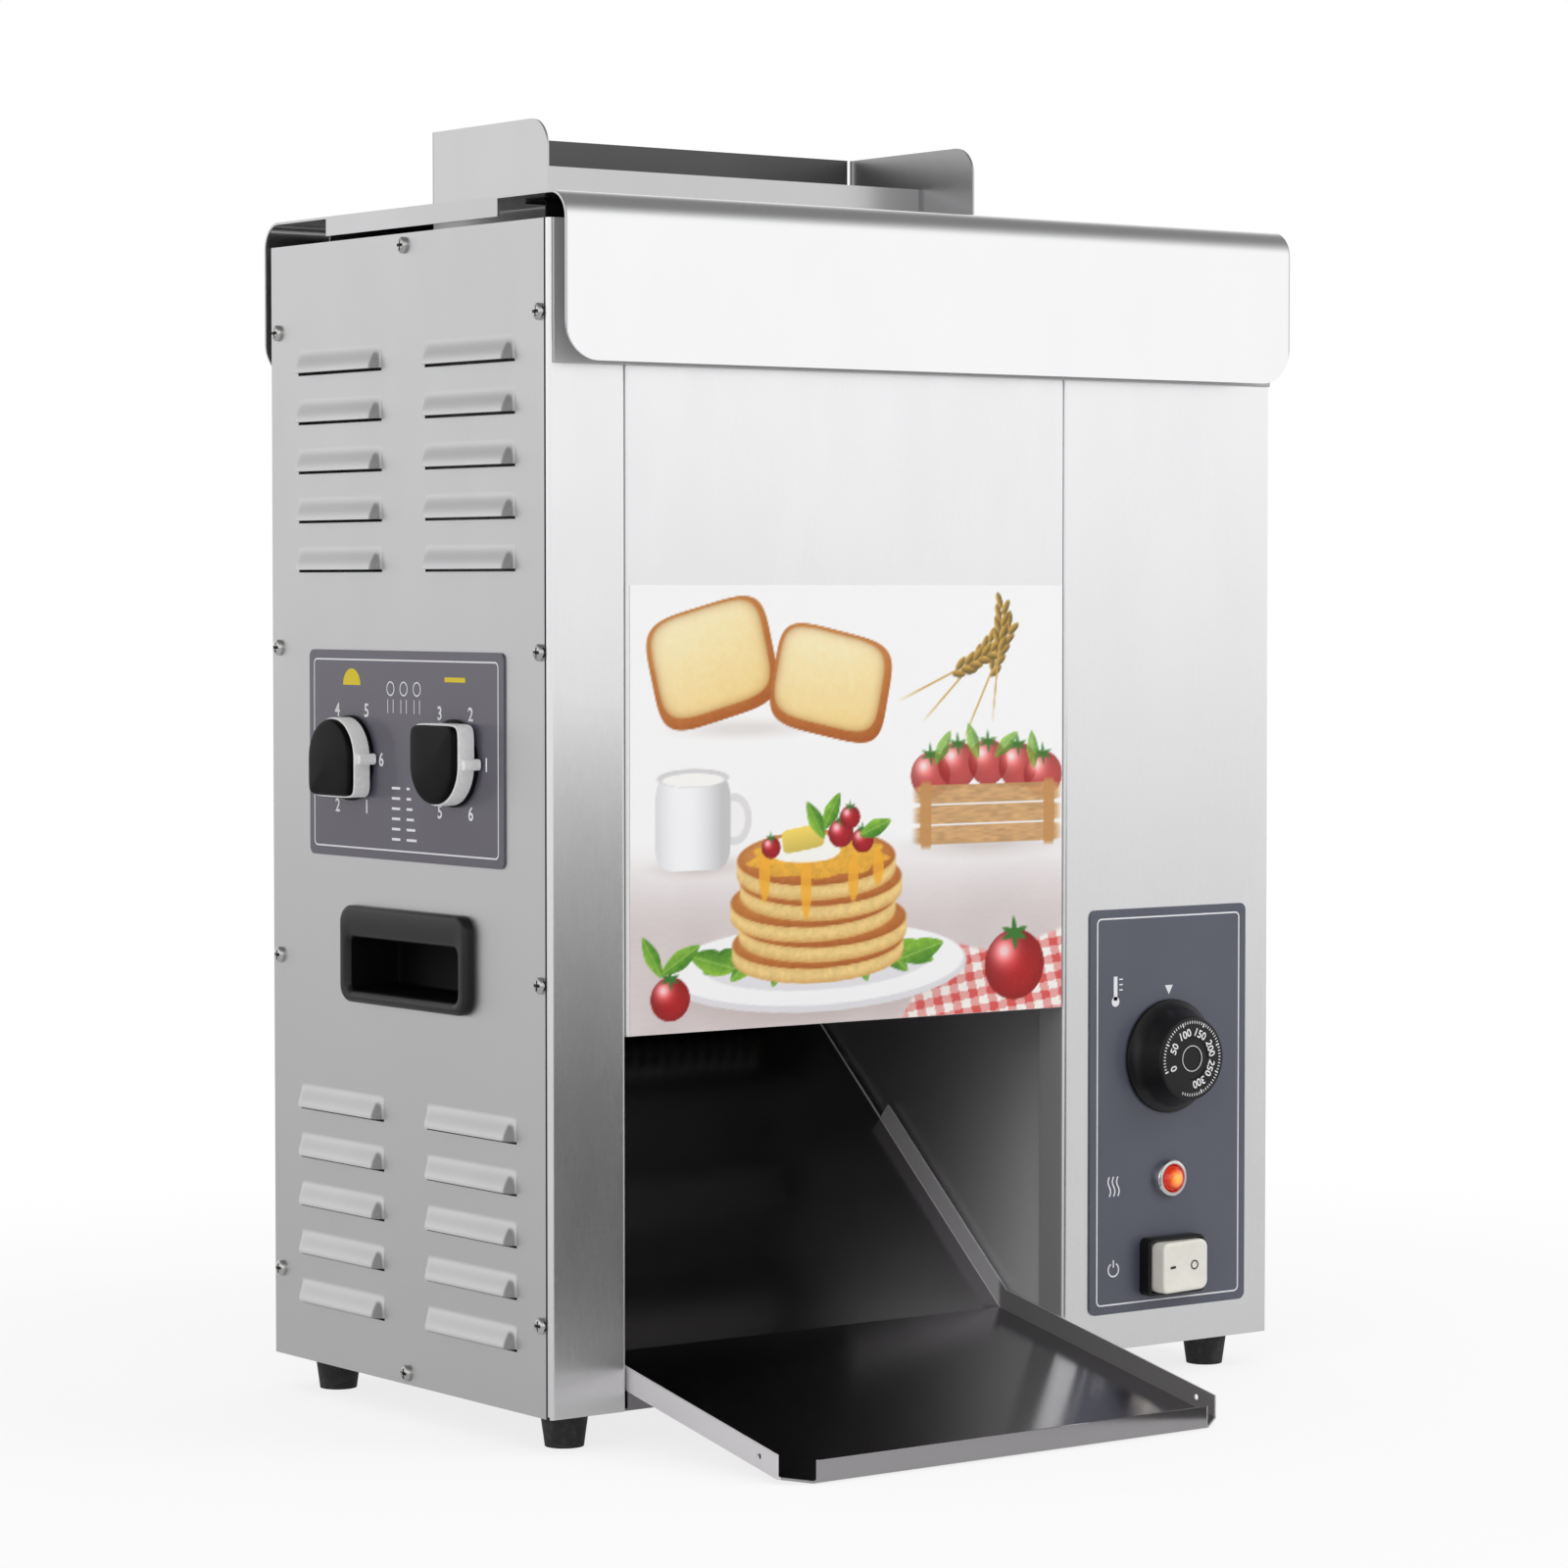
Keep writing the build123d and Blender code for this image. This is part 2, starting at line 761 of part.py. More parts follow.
def louvre_block(start, way, inset):
    """Solid of one louvre at the body's corner, its base at start, smaller all round by inset.

    An upright wedge that runs back is cut by a level one, which slopes both of its ends.
    """
    length = louvre_length - 2 * inset
    ridge = start + way * louvre_depth
    with BuildPart() as block:
        with BuildSketch(facing(length / 2)):
            with BuildLine():
                Polyline((start, 0), (start, louvre_height - inset), (ridge, louvre_lip), (ridge, 0),
                         close=True)
            make_face()
        extrude(amount=length)
        with BuildSketch(level(0)):
            with BuildLine():
                Polyline(
                    (start, -length / 2),
                    (ridge, louvre_end_slope - length / 2),
                    (ridge, length / 2 - louvre_end_slope),
                    (start, length / 2),
                    close=True,
                )
            make_face()
        extrude(amount=louvre_height, mode=Mode.INTERSECT)
    return block.part


def side_panel(x, way, has_knobs):
    """Side panel whose inner face lies at x and whose louvres stand out along way."""
    with BuildPart() as panel:
        outer = x + way * sheet
        with BuildSketch(across(x)):
            with Locations(((column_wrap + lap_gap + body_depth) / 2, side_height / 2)):
                Rectangle(body_depth - column_wrap - lap_gap, side_height)
            with Locations(side_screw_places):
                RegularPolygon(screw_radius + lap_gap, small_sides, mode=Mode.SUBTRACT)
            with Locations(handle_centre):
                Rectangle(handle_cut_length, handle_cut_height, mode=Mode.SUBTRACT)
            if has_knobs:
                with Locations(knob_places):
                    RegularPolygon(cam_shaft_radius + shaft_hole_clearance, small_sides, mode=Mode.SUBTRACT)
        extrude(amount=way * sheet)
        for inset, start, mode in ((0, outer, Mode.ADD), (sheet, x, Mode.SUBTRACT)):
            block = louvre_block(start, way, inset)
            with Locations([(0, y, z) for y, z in louvre_places]):
                add(block, mode=mode)
    return panel.part


left_side_panel = side_panel(sheet, -1, True)
left_side_panel.label = "left_side_panel"
export_step(left_side_panel, "parts/left_side_panel.step")

right_side_panel = side_panel(mid_side(sheet), 1, False)
right_side_panel.label = "right_side_panel"
export_step(right_side_panel, "parts/right_side_panel.step")


def pan_screws(x, way):
    """Pan-head screws of one side panel, heads on the outer face at x, pointing against way."""
    grip = 2 * sheet + lap_gap + screw_tip
    with BuildPart() as screws:
        with BuildSketch(across(x)):
            with Locations(side_screw_places):
                RegularPolygon(screw_head_radius, small_sides)
        extrude(amount=way * screw_head_height)
        with BuildSketch(across(x)):
            with Locations(side_screw_places):
                RegularPolygon(screw_radius, small_sides)
        extrude(amount=-way * grip)
    return screws.part


left_panel_screws = pan_screws(0, -1)
left_panel_screws.label = "left_panel_screws"
export_step(left_panel_screws, "parts/left_panel_screws.step")

right_panel_screws = pan_screws(body_width, 1)
right_panel_screws.label = "right_panel_screws"
export_step(right_panel_screws, "parts/right_panel_screws.step")


def carry_handle(x, way):
    """Black moulded tub with a flat rim on the panel's outer face at x and a sloping finger grip."""
    with BuildPart() as tub:
        with BuildSketch(across(x)):
            with Locations(handle_centre):
                RectangleRounded(handle_length, handle_height, handle_corner)
        extrude(amount=way * handle_rim_thickness)
        chamfer(tub.edges().group_by(Axis.X)[0 if way < 0 else -1], length=handle_rim_thickness / 2)
        with BuildSketch(across(x)):
            with Locations(handle_centre):
                Rectangle(handle_cut_length - 2 * lap_gap, handle_cut_height - 2 * lap_gap)
        extrude(amount=-way * handle_depth)
        with BuildSketch(across(x + way * (handle_rim_thickness + over))):
            with Locations(handle_centre):
                Rectangle(handle_cut_length - 2 * lap_gap - 2 * handle_wall,
                          handle_cut_height - 2 * lap_gap - 2 * handle_wall)
        extrude(amount=-way * (handle_rim_thickness + over + handle_depth - handle_wall),
                mode=Mode.SUBTRACT)
        grip_top = handle_centre[1] + handle_cut_height / 2 - lap_gap - handle_wall / 2
        grip_out = x + way * handle_rim_thickness / 2
        with BuildSketch(facing(handle_centre[0] + handle_cut_length / 2 - handle_wall)):
            with BuildLine():
                Polyline(
                    (grip_out, grip_top),
                    (grip_out, grip_top - handle_grip_drop / 2),
                    (grip_out - way * handle_grip_depth, grip_top - handle_grip_drop),
                    (grip_out - way * (handle_grip_depth + handle_wall), grip_top - handle_grip_drop),
                    (grip_out - way * (handle_grip_depth + handle_wall), grip_top),
                    close=True,
                )
            make_face()
        extrude(amount=handle_cut_length - 2 * handle_wall)
    return tub.part


left_carry_handle = carry_handle(0, -1)
left_carry_handle.label = "left_carry_handle"
export_step(left_carry_handle, "parts/left_carry_handle.step")

right_carry_handle = carry_handle(body_width, 1)
right_carry_handle.label = "right_carry_handle"
export_step(right_carry_handle, "parts/right_carry_handle.step")


# Printed plate behind the two compression knobs
with BuildPart() as left_control_plate:
    with BuildSketch(across(0)):
        with Locations((side_plate_front_place + side_plate_length / 2,
                        side_plate_bottom_place + side_plate_height / 2)):
            RectangleRounded(side_plate_length, side_plate_height, plate_corner)
        with Locations(knob_places):
            RegularPolygon(cam_shaft_radius + shaft_hole_clearance, small_sides, mode=Mode.SUBTRACT)
    extrude(amount=-plate_thickness)
left_control_plate.part.label = "left_control_plate"
export_step(left_control_plate.part, "parts/left_control_plate.step")


# Printed plate behind the dial, the lamp and the switch
with BuildPart() as front_control_plate:
    with BuildSketch(facing(0)):
        with Locations((controls_place, front_plate_bottom_place + front_plate_height / 2)):
            RectangleRounded(front_plate_width, front_plate_height, plate_corner)
        with Locations((controls_place, dial_height_place)):
            Circle(spindle_radius + thermostat_bore_clearance, mode=Mode.SUBTRACT)
        with Locations((controls_place, lamp_height_place)):
            Circle(lamp_body_radius + lamp_clearance, mode=Mode.SUBTRACT)
        with Locations((controls_place, switch_height_place)):
            Rectangle(switch_cut_width + 2 * lap_gap, switch_cut_height + 2 * lap_gap, mode=Mode.SUBTRACT)
    extrude(amount=plate_thickness)
front_control_plate.part.label = "front_control_plate"
export_step(front_control_plate.part, "parts/front_control_plate.step")


# Thermostat: can behind the column and fixing nut in its hole
with BuildPart() as thermostat_body:
    with BuildSketch(facing(inside)):
        with Locations((controls_place, dial_height_place)):
            Rectangle(thermostat_width, thermostat_height)
    extrude(amount=-thermostat_depth)
    fillet(thermostat_body.edges().filter_by(Axis.Y), radius=thermostat_corner)
    with BuildSketch(facing(inside)):
        with Locations((controls_place, dial_height_place)):
            Circle(thermostat_nut_radius)
    extrude(amount=sheet)
    with BuildSketch(facing(-over)):
        with Locations((controls_place, dial_height_place)):
            Circle(spindle_radius + thermostat_bore_clearance)
    extrude(amount=-spindle_reach - lap_gap - over, mode=Mode.SUBTRACT)
thermostat_body.part.label = "thermostat_body"
export_step(thermostat_body.part, "parts/thermostat_body.step")


# Thermostat dial: flared skirt, conical grip and the spindle that reaches into the thermostat
dial_back = plate_thickness + dial_gap
dial_top = plate_thickness + dial_reach
with BuildPart() as thermostat_dial:
    with BuildSketch(Plane(origin=(left + controls_place, front, base + dial_height_place),
                           x_dir=(1, 0, 0), z_dir=(0, 0, 1))):
        with BuildLine():
            Polyline(
                (0, spindle_reach),
                (spindle_radius, spindle_reach),
                (spindle_radius, -dial_back),
                (dial_skirt_radius, -dial_back),
                (dial_skirt_radius, -dial_back - dial_skirt_thickness / 2),
                (dial_neck_radius, -dial_back - dial_skirt_thickness),
                (dial_face_radius, -dial_top),
                (0, -dial_top),
                close=True,
            )
        make_face()
    revolve(axis=Axis((left + controls_place, front, base + dial_height_place), (0, 1, 0)))
thermostat_dial.part.label = "thermostat_dial"
export_step(thermostat_dial.part, "parts/thermostat_dial.step")


# Indicator lamp: chrome bezel with its threaded body, and the domed lens in it
with BuildPart() as lamp_bezel:
    with BuildSketch(facing(-plate_thickness)):
        with Locations((controls_place, lamp_height_place)):
            Circle(lamp_ring_radius)
    extrude(amount=lamp_ring_reach)
    chamfer(lamp_bezel.edges().group_by(Axis.Y)[0], length=lamp_ring_chamfer)
    with BuildSketch(facing(-plate_thickness)):
        with Locations((controls_place, lamp_height_place)):
            Circle(lamp_body_radius)
    extrude(amount=-lamp_body_length)
    with BuildSketch(facing(-plate_thickness - lamp_floor)):
        with Locations((controls_place, lamp_height_place)):
            Circle(lamp_lens_radius + lamp_clearance)
    extrude(amount=lamp_ring_reach, mode=Mode.SUBTRACT)
lamp_bezel.part.label = "lamp_bezel"
export_step(lamp_bezel.part, "parts/lamp_bezel.step")

with BuildPart() as lamp_lens:
    with BuildSketch(facing(-plate_thickness - lamp_floor)):
        with Locations((controls_place, lamp_height_place)):
            Circle(lamp_lens_radius)
    extrude(amount=lamp_lens_reach - lamp_floor)
    chamfer(lamp_lens.edges().group_by(Axis.Y)[0], length=lamp_lens_dome / 2)
lamp_lens.part.label = "lamp_lens"
export_step(lamp_lens.part, "parts/lamp_lens.step")


# Power switch: housing with a deep pocket, and a rocker that tilts about an upright pin
with BuildPart() as switch_housing:
    with BuildSketch(facing(-plate_thickness)):
        with Locations((controls_place, switch_height_place)):
            Rectangle(switch_width, switch_height)
    extrude(amount=switch_reach)
    chamfer(switch_housing.edges().group_by(Axis.Y)[0], length=switch_wall / 2)
    with BuildSketch(facing(-plate_thickness)):
        with Locations((controls_place, switch_height_place)):
            Rectangle(switch_cut_width, switch_cut_height)
    extrude(amount=-switch_body_depth)
    pocket_width = 2 * (rocker_radius + rocker_gap)
    pocket_height = switch_height - 2 * switch_wall - 2 * lap_gap
    with BuildSketch(facing(-plate_thickness - switch_reach - over)):
        with Locations((controls_place, switch_height_place)):
            Rectangle(pocket_width, pocket_height)
    extrude(amount=-switch_reach - over, mode=Mode.SUBTRACT)
    pin_centre = Plane(origin=(left + controls_place, front - plate_thickness - rocker_pivot_depth,
                               base + switch_height_place))
    with BuildSketch(pin_centre.offset(-pocket_height / 2 - rocker_pin_length - lap_gap)):
        Circle(rocker_pin_radius + rocker_pin_clearance)
    extrude(amount=pocket_height + 2 * (rocker_pin_length + lap_gap), mode=Mode.SUBTRACT)
switch_housing.part.label = "switch_housing"
export_step(switch_housing.part, "parts/switch_housing.step")

rocker_height = pocket_height - 2 * rocker_gap
rocker_plane = Plane(origin=(left + controls_place, front - plate_thickness - rocker_pivot_depth,
                             base + switch_height_place), x_dir=(1, 0, 0), z_dir=(0, 0, 1))
rocker_plane = rocker_plane.rotated((0, 0, rocker_tilt))
with BuildPart() as switch_rocker:
    with BuildSketch(rocker_plane.offset(-rocker_height / 2)):
        Circle(rocker_radius)
        with BuildLine():
            Polyline(
                (-rocker_radius, rocker_back_depth),
                (rocker_radius, rocker_back_depth),
                (rocker_radius, rocker_pivot_depth - rocker_end_reach),
                (0, rocker_pivot_depth - rocker_centre_reach),
                (-rocker_radius, rocker_pivot_depth - rocker_end_reach),
                close=True,
            )
        make_face(mode=Mode.INTERSECT)
    extrude(amount=rocker_height)
    with BuildSketch(rocker_plane.offset(-pocket_height / 2 - rocker_pin_length)):
        Circle(rocker_pin_radius)
    extrude(amount=pocket_height + 2 * rocker_pin_length)
switch_rocker.part.label = "switch_rocker"
export_step(switch_rocker.part, "parts/switch_rocker.step")


# Rubber feet, tapered downwards, each moulded round a stud that a nut holds in the base pan
with BuildPart() as feet:
    with BuildSketch(level(0)):
        with Locations(foot_places):
            Circle(foot_top_radius)
    foot_taper = math.degrees(math.atan((foot_top_radius - foot_bottom_radius) / foot_height))
    extrude(amount=-foot_height, taper=foot_taper)
    with BuildSketch(level(0)):
        with Locations(foot_places):
            RegularPolygon(foot_stud_radius, small_sides)
    extrude(amount=sheet + foot_nut_height + foot_stud_tip)
feet.part.label = "feet"
export_step(feet.part, "parts/feet.step")

with BuildPart() as foot_nuts:
    with BuildSketch(level(sheet)):
        with Locations(foot_places):
            RegularPolygon(foot_nut_radius, hex_sides)
            RegularPolygon(foot_stud_radius + element_clearance, small_sides, mode=Mode.SUBTRACT)
    extrude(amount=foot_nut_height)
foot_nuts.part.label = "foot_nuts"
export_step(foot_nuts.part, "parts/foot_nuts.step")


# Heated platen with bores for its elements and threaded bolt holes in both ends
platen_left = left_wall + platen_side_gap
platen_right = right_wall - platen_side_gap
platen_top = platen_bottom + platen_height
with BuildPart() as platen:
    with BuildSketch(across(platen_left)):
        with Locations((platen_centre, (platen_bottom + platen_top) / 2)):
            Rectangle(platen_thickness, platen_height)
    extrude(amount=platen_right - platen_left)
    chamfer(platen.edges().filter_by(Axis.X).group_by(Axis.Z)[-1], length=platen_nose)
    with BuildSketch(across(platen_left + element_end_margin)):
        with Locations([(platen_centre, z) for z in element_heights]):
            Circle(element_radius + element_clearance)
    extrude(amount=platen_right - platen_left, mode=Mode.SUBTRACT)
    for start, way in ((platen_left, 1), (platen_right, -1)):
        with BuildSketch(across(start)):
            with Locations(platen_bolt_places):
                RegularPolygon(platen_bolt_radius + element_clearance, small_sides)
        extrude(amount=way * (platen_bolt_depth + lap_gap), mode=Mode.SUBTRACT)
platen.part.label = "platen"
export_step(platen.part, "parts/platen.step")

with BuildPart() as heating_elements:
    with BuildSketch(across(platen_left + element_end_margin + lap_gap)):
        with Locations([(platen_centre, z) for z in element_heights]):
            Circle(element_radius)
    extrude(amount=right_wall + element_cold_end - platen_left - element_end_margin)
heating_elements.part.label = "heating_elements"
export_step(heating_elements.part, "parts/heating_elements.step")

with BuildPart() as platen_bolts:
    for wall, way in ((left_wall, 1), (right_wall, -1)):
        outer = wall - way * sheet
        with BuildSketch(across(outer)):
            with Locations(platen_bolt_places):
                RegularPolygon(platen_bolt_head_radius, hex_sides)
        extrude(amount=-way * platen_bolt_head_height)
        with BuildSketch(across(outer)):
            with Locations(platen_bolt_places):
                RegularPolygon(platen_bolt_radius, small_sides)
        extrude(amount=way * (sheet + platen_side_gap + platen_bolt_depth))
        with BuildSketch(across(wall)):
            with Locations(platen_bolt_places):
                RegularPolygon(platen_bolt_head_radius, hex_sides)
        extrude(amount=way * platen_side_gap)
platen_bolts.part.label = "platen_bolts"
export_step(platen_bolts.part, "parts/platen_bolts.step")


# Endless belts with cross ribs, drawn as a closed loop seen from the side
rib_radius = roller_radius + belt_gap + belt_thickness
run_length = upper_shaft_height - lower_shaft_height
rib_pitch = run_length / belt_rib_count


def conveyor_belt(centre):
    """Ribbed belt whose loop is centred at the given distance behind the front."""
    middle = (lower_shaft_height + upper_shaft_height) / 2
    with BuildPart() as belt:
        with BuildSketch(across(belt_left)):
            with Locations((centre, middle)):
                SlotOverall(run_length + 2 * rib_radius, 2 * rib_radius, rotation=90)
            for side in (-1, 1):
                with Locations((centre + side * rib_radius, middle)):
                    with GridLocations(rib_pitch, rib_pitch, 1, belt_rib_count + 1):
                        Rectangle(2 * belt_rib_height, belt_rib_width)
                end = lower_shaft_height if side < 0 else upper_shaft_height
                with Locations((centre, end)):
                    with PolarLocations(rib_radius, belt_end_rib_count,
                                        start_angle=side * 90 - belt_end_rib_angle / 2,
                                        angular_range=belt_end_rib_angle, endpoint=True):
                        Rectangle(2 * belt_rib_height, belt_rib_width)
            with Locations((centre, middle)):
                SlotOverall(run_length + 2 * (roller_radius + belt_gap), 2 * (roller_radius + belt_gap),
                            rotation=90, mode=Mode.SUBTRACT)
        extrude(amount=belt_width)
    return belt.part


heel_belt = conveyor_belt(heel_belt_centre)
heel_belt.label = "heel_belt"
export_step(heel_belt, "parts/heel_belt.step")

crown_belt = conveyor_belt(crown_belt_centre)
crown_belt.label = "crown_belt"
export_step(crown_belt, "parts/crown_belt.step")


# Shafts: the lower ones drive through wheels, the upper ones carry a plain drum
shaft_start = left_wall - sheet - shaft_tail


def drive_shaft(y):
    """Lower shaft with evenly spaced drive wheels, long enough to carry its gear."""
    with BuildPart() as shaft:
        with BuildSketch(across(shaft_start)):
            with Locations((y, lower_shaft_height)):
                Circle(shaft_radius)
        extrude(amount=gear_place + gear_width + shaft_tail / 2 - shaft_start)
        spread = belt_width - 2 * drum_inset - wheel_width
        for number in range(wheel_count):
            start = belt_left + drum_inset + number * spread / (wheel_count - 1)
            with BuildSketch(across(start)):
                with Locations((y, lower_shaft_height)):
                    Circle(roller_radius)
            extrude(amount=wheel_width)
    return shaft.part


def idler_shaft(y):
    """Upper shaft with a full-width drum, carried in the bushes of both bulkheads."""
    with BuildPart() as shaft:
        with BuildSketch(across(shaft_start)):
            with Locations((y, upper_shaft_height)):
                Circle(shaft_radius)
        extrude(amount=right_wall + sheet + shaft_tail - shaft_start)
        with BuildSketch(across(belt_left + drum_inset)):
            with Locations((y, upper_shaft_height)):
                Circle(roller_radius)
        extrude(amount=belt_width - 2 * drum_inset)
    return shaft.part


heel_drive_shaft = drive_shaft(heel_belt_centre)
heel_drive_shaft.label = "heel_drive_shaft"
export_step(heel_drive_shaft, "parts/heel_drive_shaft.step")

crown_drive_shaft = drive_shaft(crown_belt_centre)
crown_drive_shaft.label = "crown_drive_shaft"
export_step(crown_drive_shaft, "parts/crown_drive_shaft.step")

heel_idler_shaft = idler_shaft(heel_belt_centre)
heel_idler_shaft.label = "heel_idler_shaft"
export_step(heel_idler_shaft, "parts/heel_idler_shaft.step")

crown_idler_shaft = idler_shaft(crown_belt_centre)
crown_idler_shaft.label = "crown_idler_shaft"
export_step(crown_idler_shaft, "parts/crown_idler_shaft.step")


# Bushes that carry the shafts in both bulkheads
with BuildPart() as shaft_bushes:
    for wall, way in ((left_wall, 1), (right_wall, -1)):
        with BuildSketch(across(wall)):
            with Locations(shaft_places):
                RegularPolygon(bush_radius, small_sides)
                Circle(shaft_radius + running_gap, mode=Mode.SUBTRACT)
        extrude(amount=-way * bush_length)
shaft_bushes.part.label = "shaft_bushes"
export_step(shaft_bushes.part, "parts/shaft_bushes.step")


# Rod between the bulkheads that the chute rests on
with BuildPart() as chute_rod:
    with BuildSketch(across(left_wall - sheet)):
        with Locations((chute_rod_place, chute_rod_height)):
            Circle(chute_rod_radius)
    extrude(amount=right_wall - left_wall + 2 * sheet)
chute_rod.part.label = "chute_rod"
export_step(chute_rod.part, "parts/chute_rod.step")


def involute_angle(radius, base_radius):
    """Angle that the involute of the base circle has turned through at a radius."""
    if radius <= base_radius:
        return 0
    roll = math.sqrt((radius / base_radius) ** 2 - 1)
    return roll - math.atan(roll)


def gear_outline(teeth):
    """Closed outline of a spur gear: for each tooth root, pitch and tip points of both involute flanks."""
    pitch_radius = gear_module * teeth / 2
    base_radius = pitch_radius * math.cos(math.radians(pressure_angle))
    radii = (pitch_radius - root_share * gear_module, pitch_radius, pitch_radius + gear_module)
    half_tooth = math.pi / (2 * teeth) - gear_backlash / (2 * pitch_radius)
    at_pitch = involute_angle(pitch_radius, base_radius)
    spread = [half_tooth + at_pitch - involute_angle(r, base_radius) for r in radii]
    flank = list(zip(radii, spread))
    points = []
    for tooth in range(teeth):
        middle = 2 * math.pi * tooth / teeth
        for r, s in [(r, -s) for r, s in flank] + flank[::-1]:
            points.append((r * math.cos(middle + s), r * math.sin(middle + s)))
    return points


def spur_gear(y, z, teeth, turn, bore, hub_length):
    """Spur gear with a hub towards the bulkhead, its first tooth turned from the back by turn."""
    first_tooth = (0, math.cos(math.radians(turn)), math.sin(math.radians(turn)))
    centre = Plane(origin=(left + gear_place, front + y, base + z), x_dir=first_tooth, z_dir=(1, 0, 0))
    with BuildPart() as gear:
        with BuildSketch(centre):
            with BuildLine():
                Polyline(*gear_outline(teeth), close=True)
            make_face()
        extrude(amount=gear_width)
        if hub_length:
            with BuildSketch(centre):
                Circle(gear_hub_radius)
            extrude(amount=-hub_length)
        with BuildSketch(centre.offset(-hub_length)):
            Circle(bore)
        extrude(amount=gear_width + hub_length, mode=Mode.SUBTRACT)
    return gear.part


heel_drive_gear = spur_gear(heel_belt_centre, lower_shaft_height, gear_teeth, 0,
                            shaft_radius + element_clearance, gear_hub_length)
heel_drive_gear.label = "heel_drive_gear"
export_step(heel_drive_gear, "parts/heel_drive_gear.step")

front_idler_gear = spur_gear(idler_places[0], lower_shaft_height, gear_teeth, 0,
                             shaft_radius + running_gap, 0)
front_idler_gear.label = "front_idler_gear"
export_step(front_idler_gear, "parts/front_idler_gear.step")

rear_idler_gear = spur_gear(idler_places[1], lower_shaft_height, gear_teeth, 0,
                            shaft_radius + running_gap, 0)
rear_idler_gear.label = "rear_idler_gear"
export_step(rear_idler_gear, "parts/rear_idler_gear.step")

crown_drive_gear = spur_gear(crown_belt_centre, lower_shaft_height, gear_teeth, 0,
                             shaft_radius + element_clearance, gear_hub_length)
crown_drive_gear.label = "crown_drive_gear"
export_step(crown_drive_gear, "parts/crown_drive_gear.step")

pinion_turn = math.degrees(pinion_angle) + 180 + 180 / pinion_teeth
motor_pinion = spur_gear(pinion_y, pinion_z, pinion_teeth, pinion_turn,
                         motor_shaft_radius + element_clearance, 0)
motor_pinion.label = "motor_pinion"
export_step(motor_pinion, "parts/motor_pinion.step")

with BuildPart() as motor_shaft:
    with BuildSketch(across(gear_place)):
        with Locations((pinion_y, pinion_z)):
            Circle(motor_shaft_radius)
    extrude(amount=gear_width + bracket_gap + bracket_thickness + motor_shaft_engagement)
motor_shaft.part.label = "motor_shaft"
export_step(motor_shaft.part, "parts/motor_shaft.step")


# Shouldered pins that carry the two idler gears on the right bulkhead
with BuildPart() as idler_pins:
    for start, end, radius in (
        (right_wall, gear_place + gear_width + seat_gap, shaft_radius),
        (right_wall + sheet, gear_place - lap_gap, idler_foot_radius),
        (gear_place + gear_width + seat_gap, gear_place + gear_width + seat_gap + idler_head_thickness,
         idler_head_radius),
    ):
        with BuildSketch(across(start)):
            with Locations([(y, lower_shaft_height) for y in idler_places]):
                Circle(radius)
        extrude(amount=end - start)
idler_pins.part.label = "idler_pins"
export_step(idler_pins.part, "parts/idler_pins.step")


# Gear motor on a plate with four spacers, which straddles the gear train
bracket_place = gear_place + gear_width + bracket_gap
with BuildPart() as motor_bracket:
    with BuildSketch(across(bracket_place)):
        with Locations((pinion_y, bracket_z)):
            RectangleRounded(bracket_length, bracket_height, bracket_spacer_radius)
        with Locations((pinion_y, pinion_z)):
            RegularPolygon(motor_shaft_radius + shaft_hole_clearance, small_sides, mode=Mode.SUBTRACT)
    extrude(amount=bracket_thickness)
    with BuildSketch(across(right_wall + sheet)):
        with Locations(spacer_places):
            RegularPolygon(bracket_spacer_radius, hex_sides)
    extrude(amount=bracket_place - right_wall - sheet)
motor_bracket.part.label = "motor_bracket"
export_step(motor_bracket.part, "parts/motor_bracket.step")

gearbox_place = bracket_place + bracket_thickness
with BuildPart() as gear_motor:
    with BuildSketch(across(gearbox_place)):
        with Locations((pinion_y, bracket_z)):
            RectangleRounded(gearbox_length, gearbox_height, gearbox_corner)
    extrude(amount=gearbox_depth)
    with BuildSketch(across(gearbox_place + gearbox_depth)):
        with Locations((pinion_y, bracket_z)):
            Circle(motor_radius)
    extrude(amount=motor_length)
    with BuildSketch(across(gearbox_place + gearbox_depth + motor_length)):
        with Locations((pinion_y, bracket_z)):
            Circle(motor_cap_radius)
    extrude(amount=motor_cap_length)
    with BuildSketch(across(gearbox_place)):
        with Locations((pinion_y, pinion_z)):
            Circle(motor_shaft_radius + running_gap)
    extrude(amount=motor_shaft_engagement + lap_gap, mode=Mode.SUBTRACT)
gear_motor.part.label = "gear_motor"
export_step(gear_motor.part, "parts/gear_motor.step")


# Snail cams: the radius grows evenly with the angle, so the plate moves evenly with the knob
def snail_cam(y, start_angle, start_radius, end_radius):
    """Knob shaft with its cam, whose radius goes evenly from start to end over the knob's turn."""
    growth = (end_radius - start_radius) / cam_turn_angle
    whole = cam_turn_angle + 2 * cam_lead_in_angle
    steps = [whole * number / cam_steps - cam_lead_in_angle for number in range(cam_steps + 1)]
    outline = [((start_radius + growth * step) * math.cos(math.radians(start_angle + step)),
                (start_radius + growth * step) * math.sin(math.radians(start_angle + step)))
               for step in steps]
    shaft_from = -plate_thickness - knob_gap - knob_bore_depth
    centre = Plane(origin=(left + cam_place, front + y, base + knob_height_place),
                   x_dir=(0, 1, 0), z_dir=(1, 0, 0))
    with BuildPart() as cam:
        with BuildSketch(centre):
            with BuildLine():
                Polyline(*outline, close=True)
            make_face()
        extrude(amount=cam_thickness)
        with BuildSketch(centre.offset(cam_thickness)):
            Circle(cam_hub_radius)
        extrude(amount=cam_hub_length)
        with BuildSketch(centre.offset(shaft_from - cam_place)):
            Circle(cam_shaft_radius)
        extrude(amount=left_wall - cam_shaft_end_clearance - shaft_from)
    return cam.part


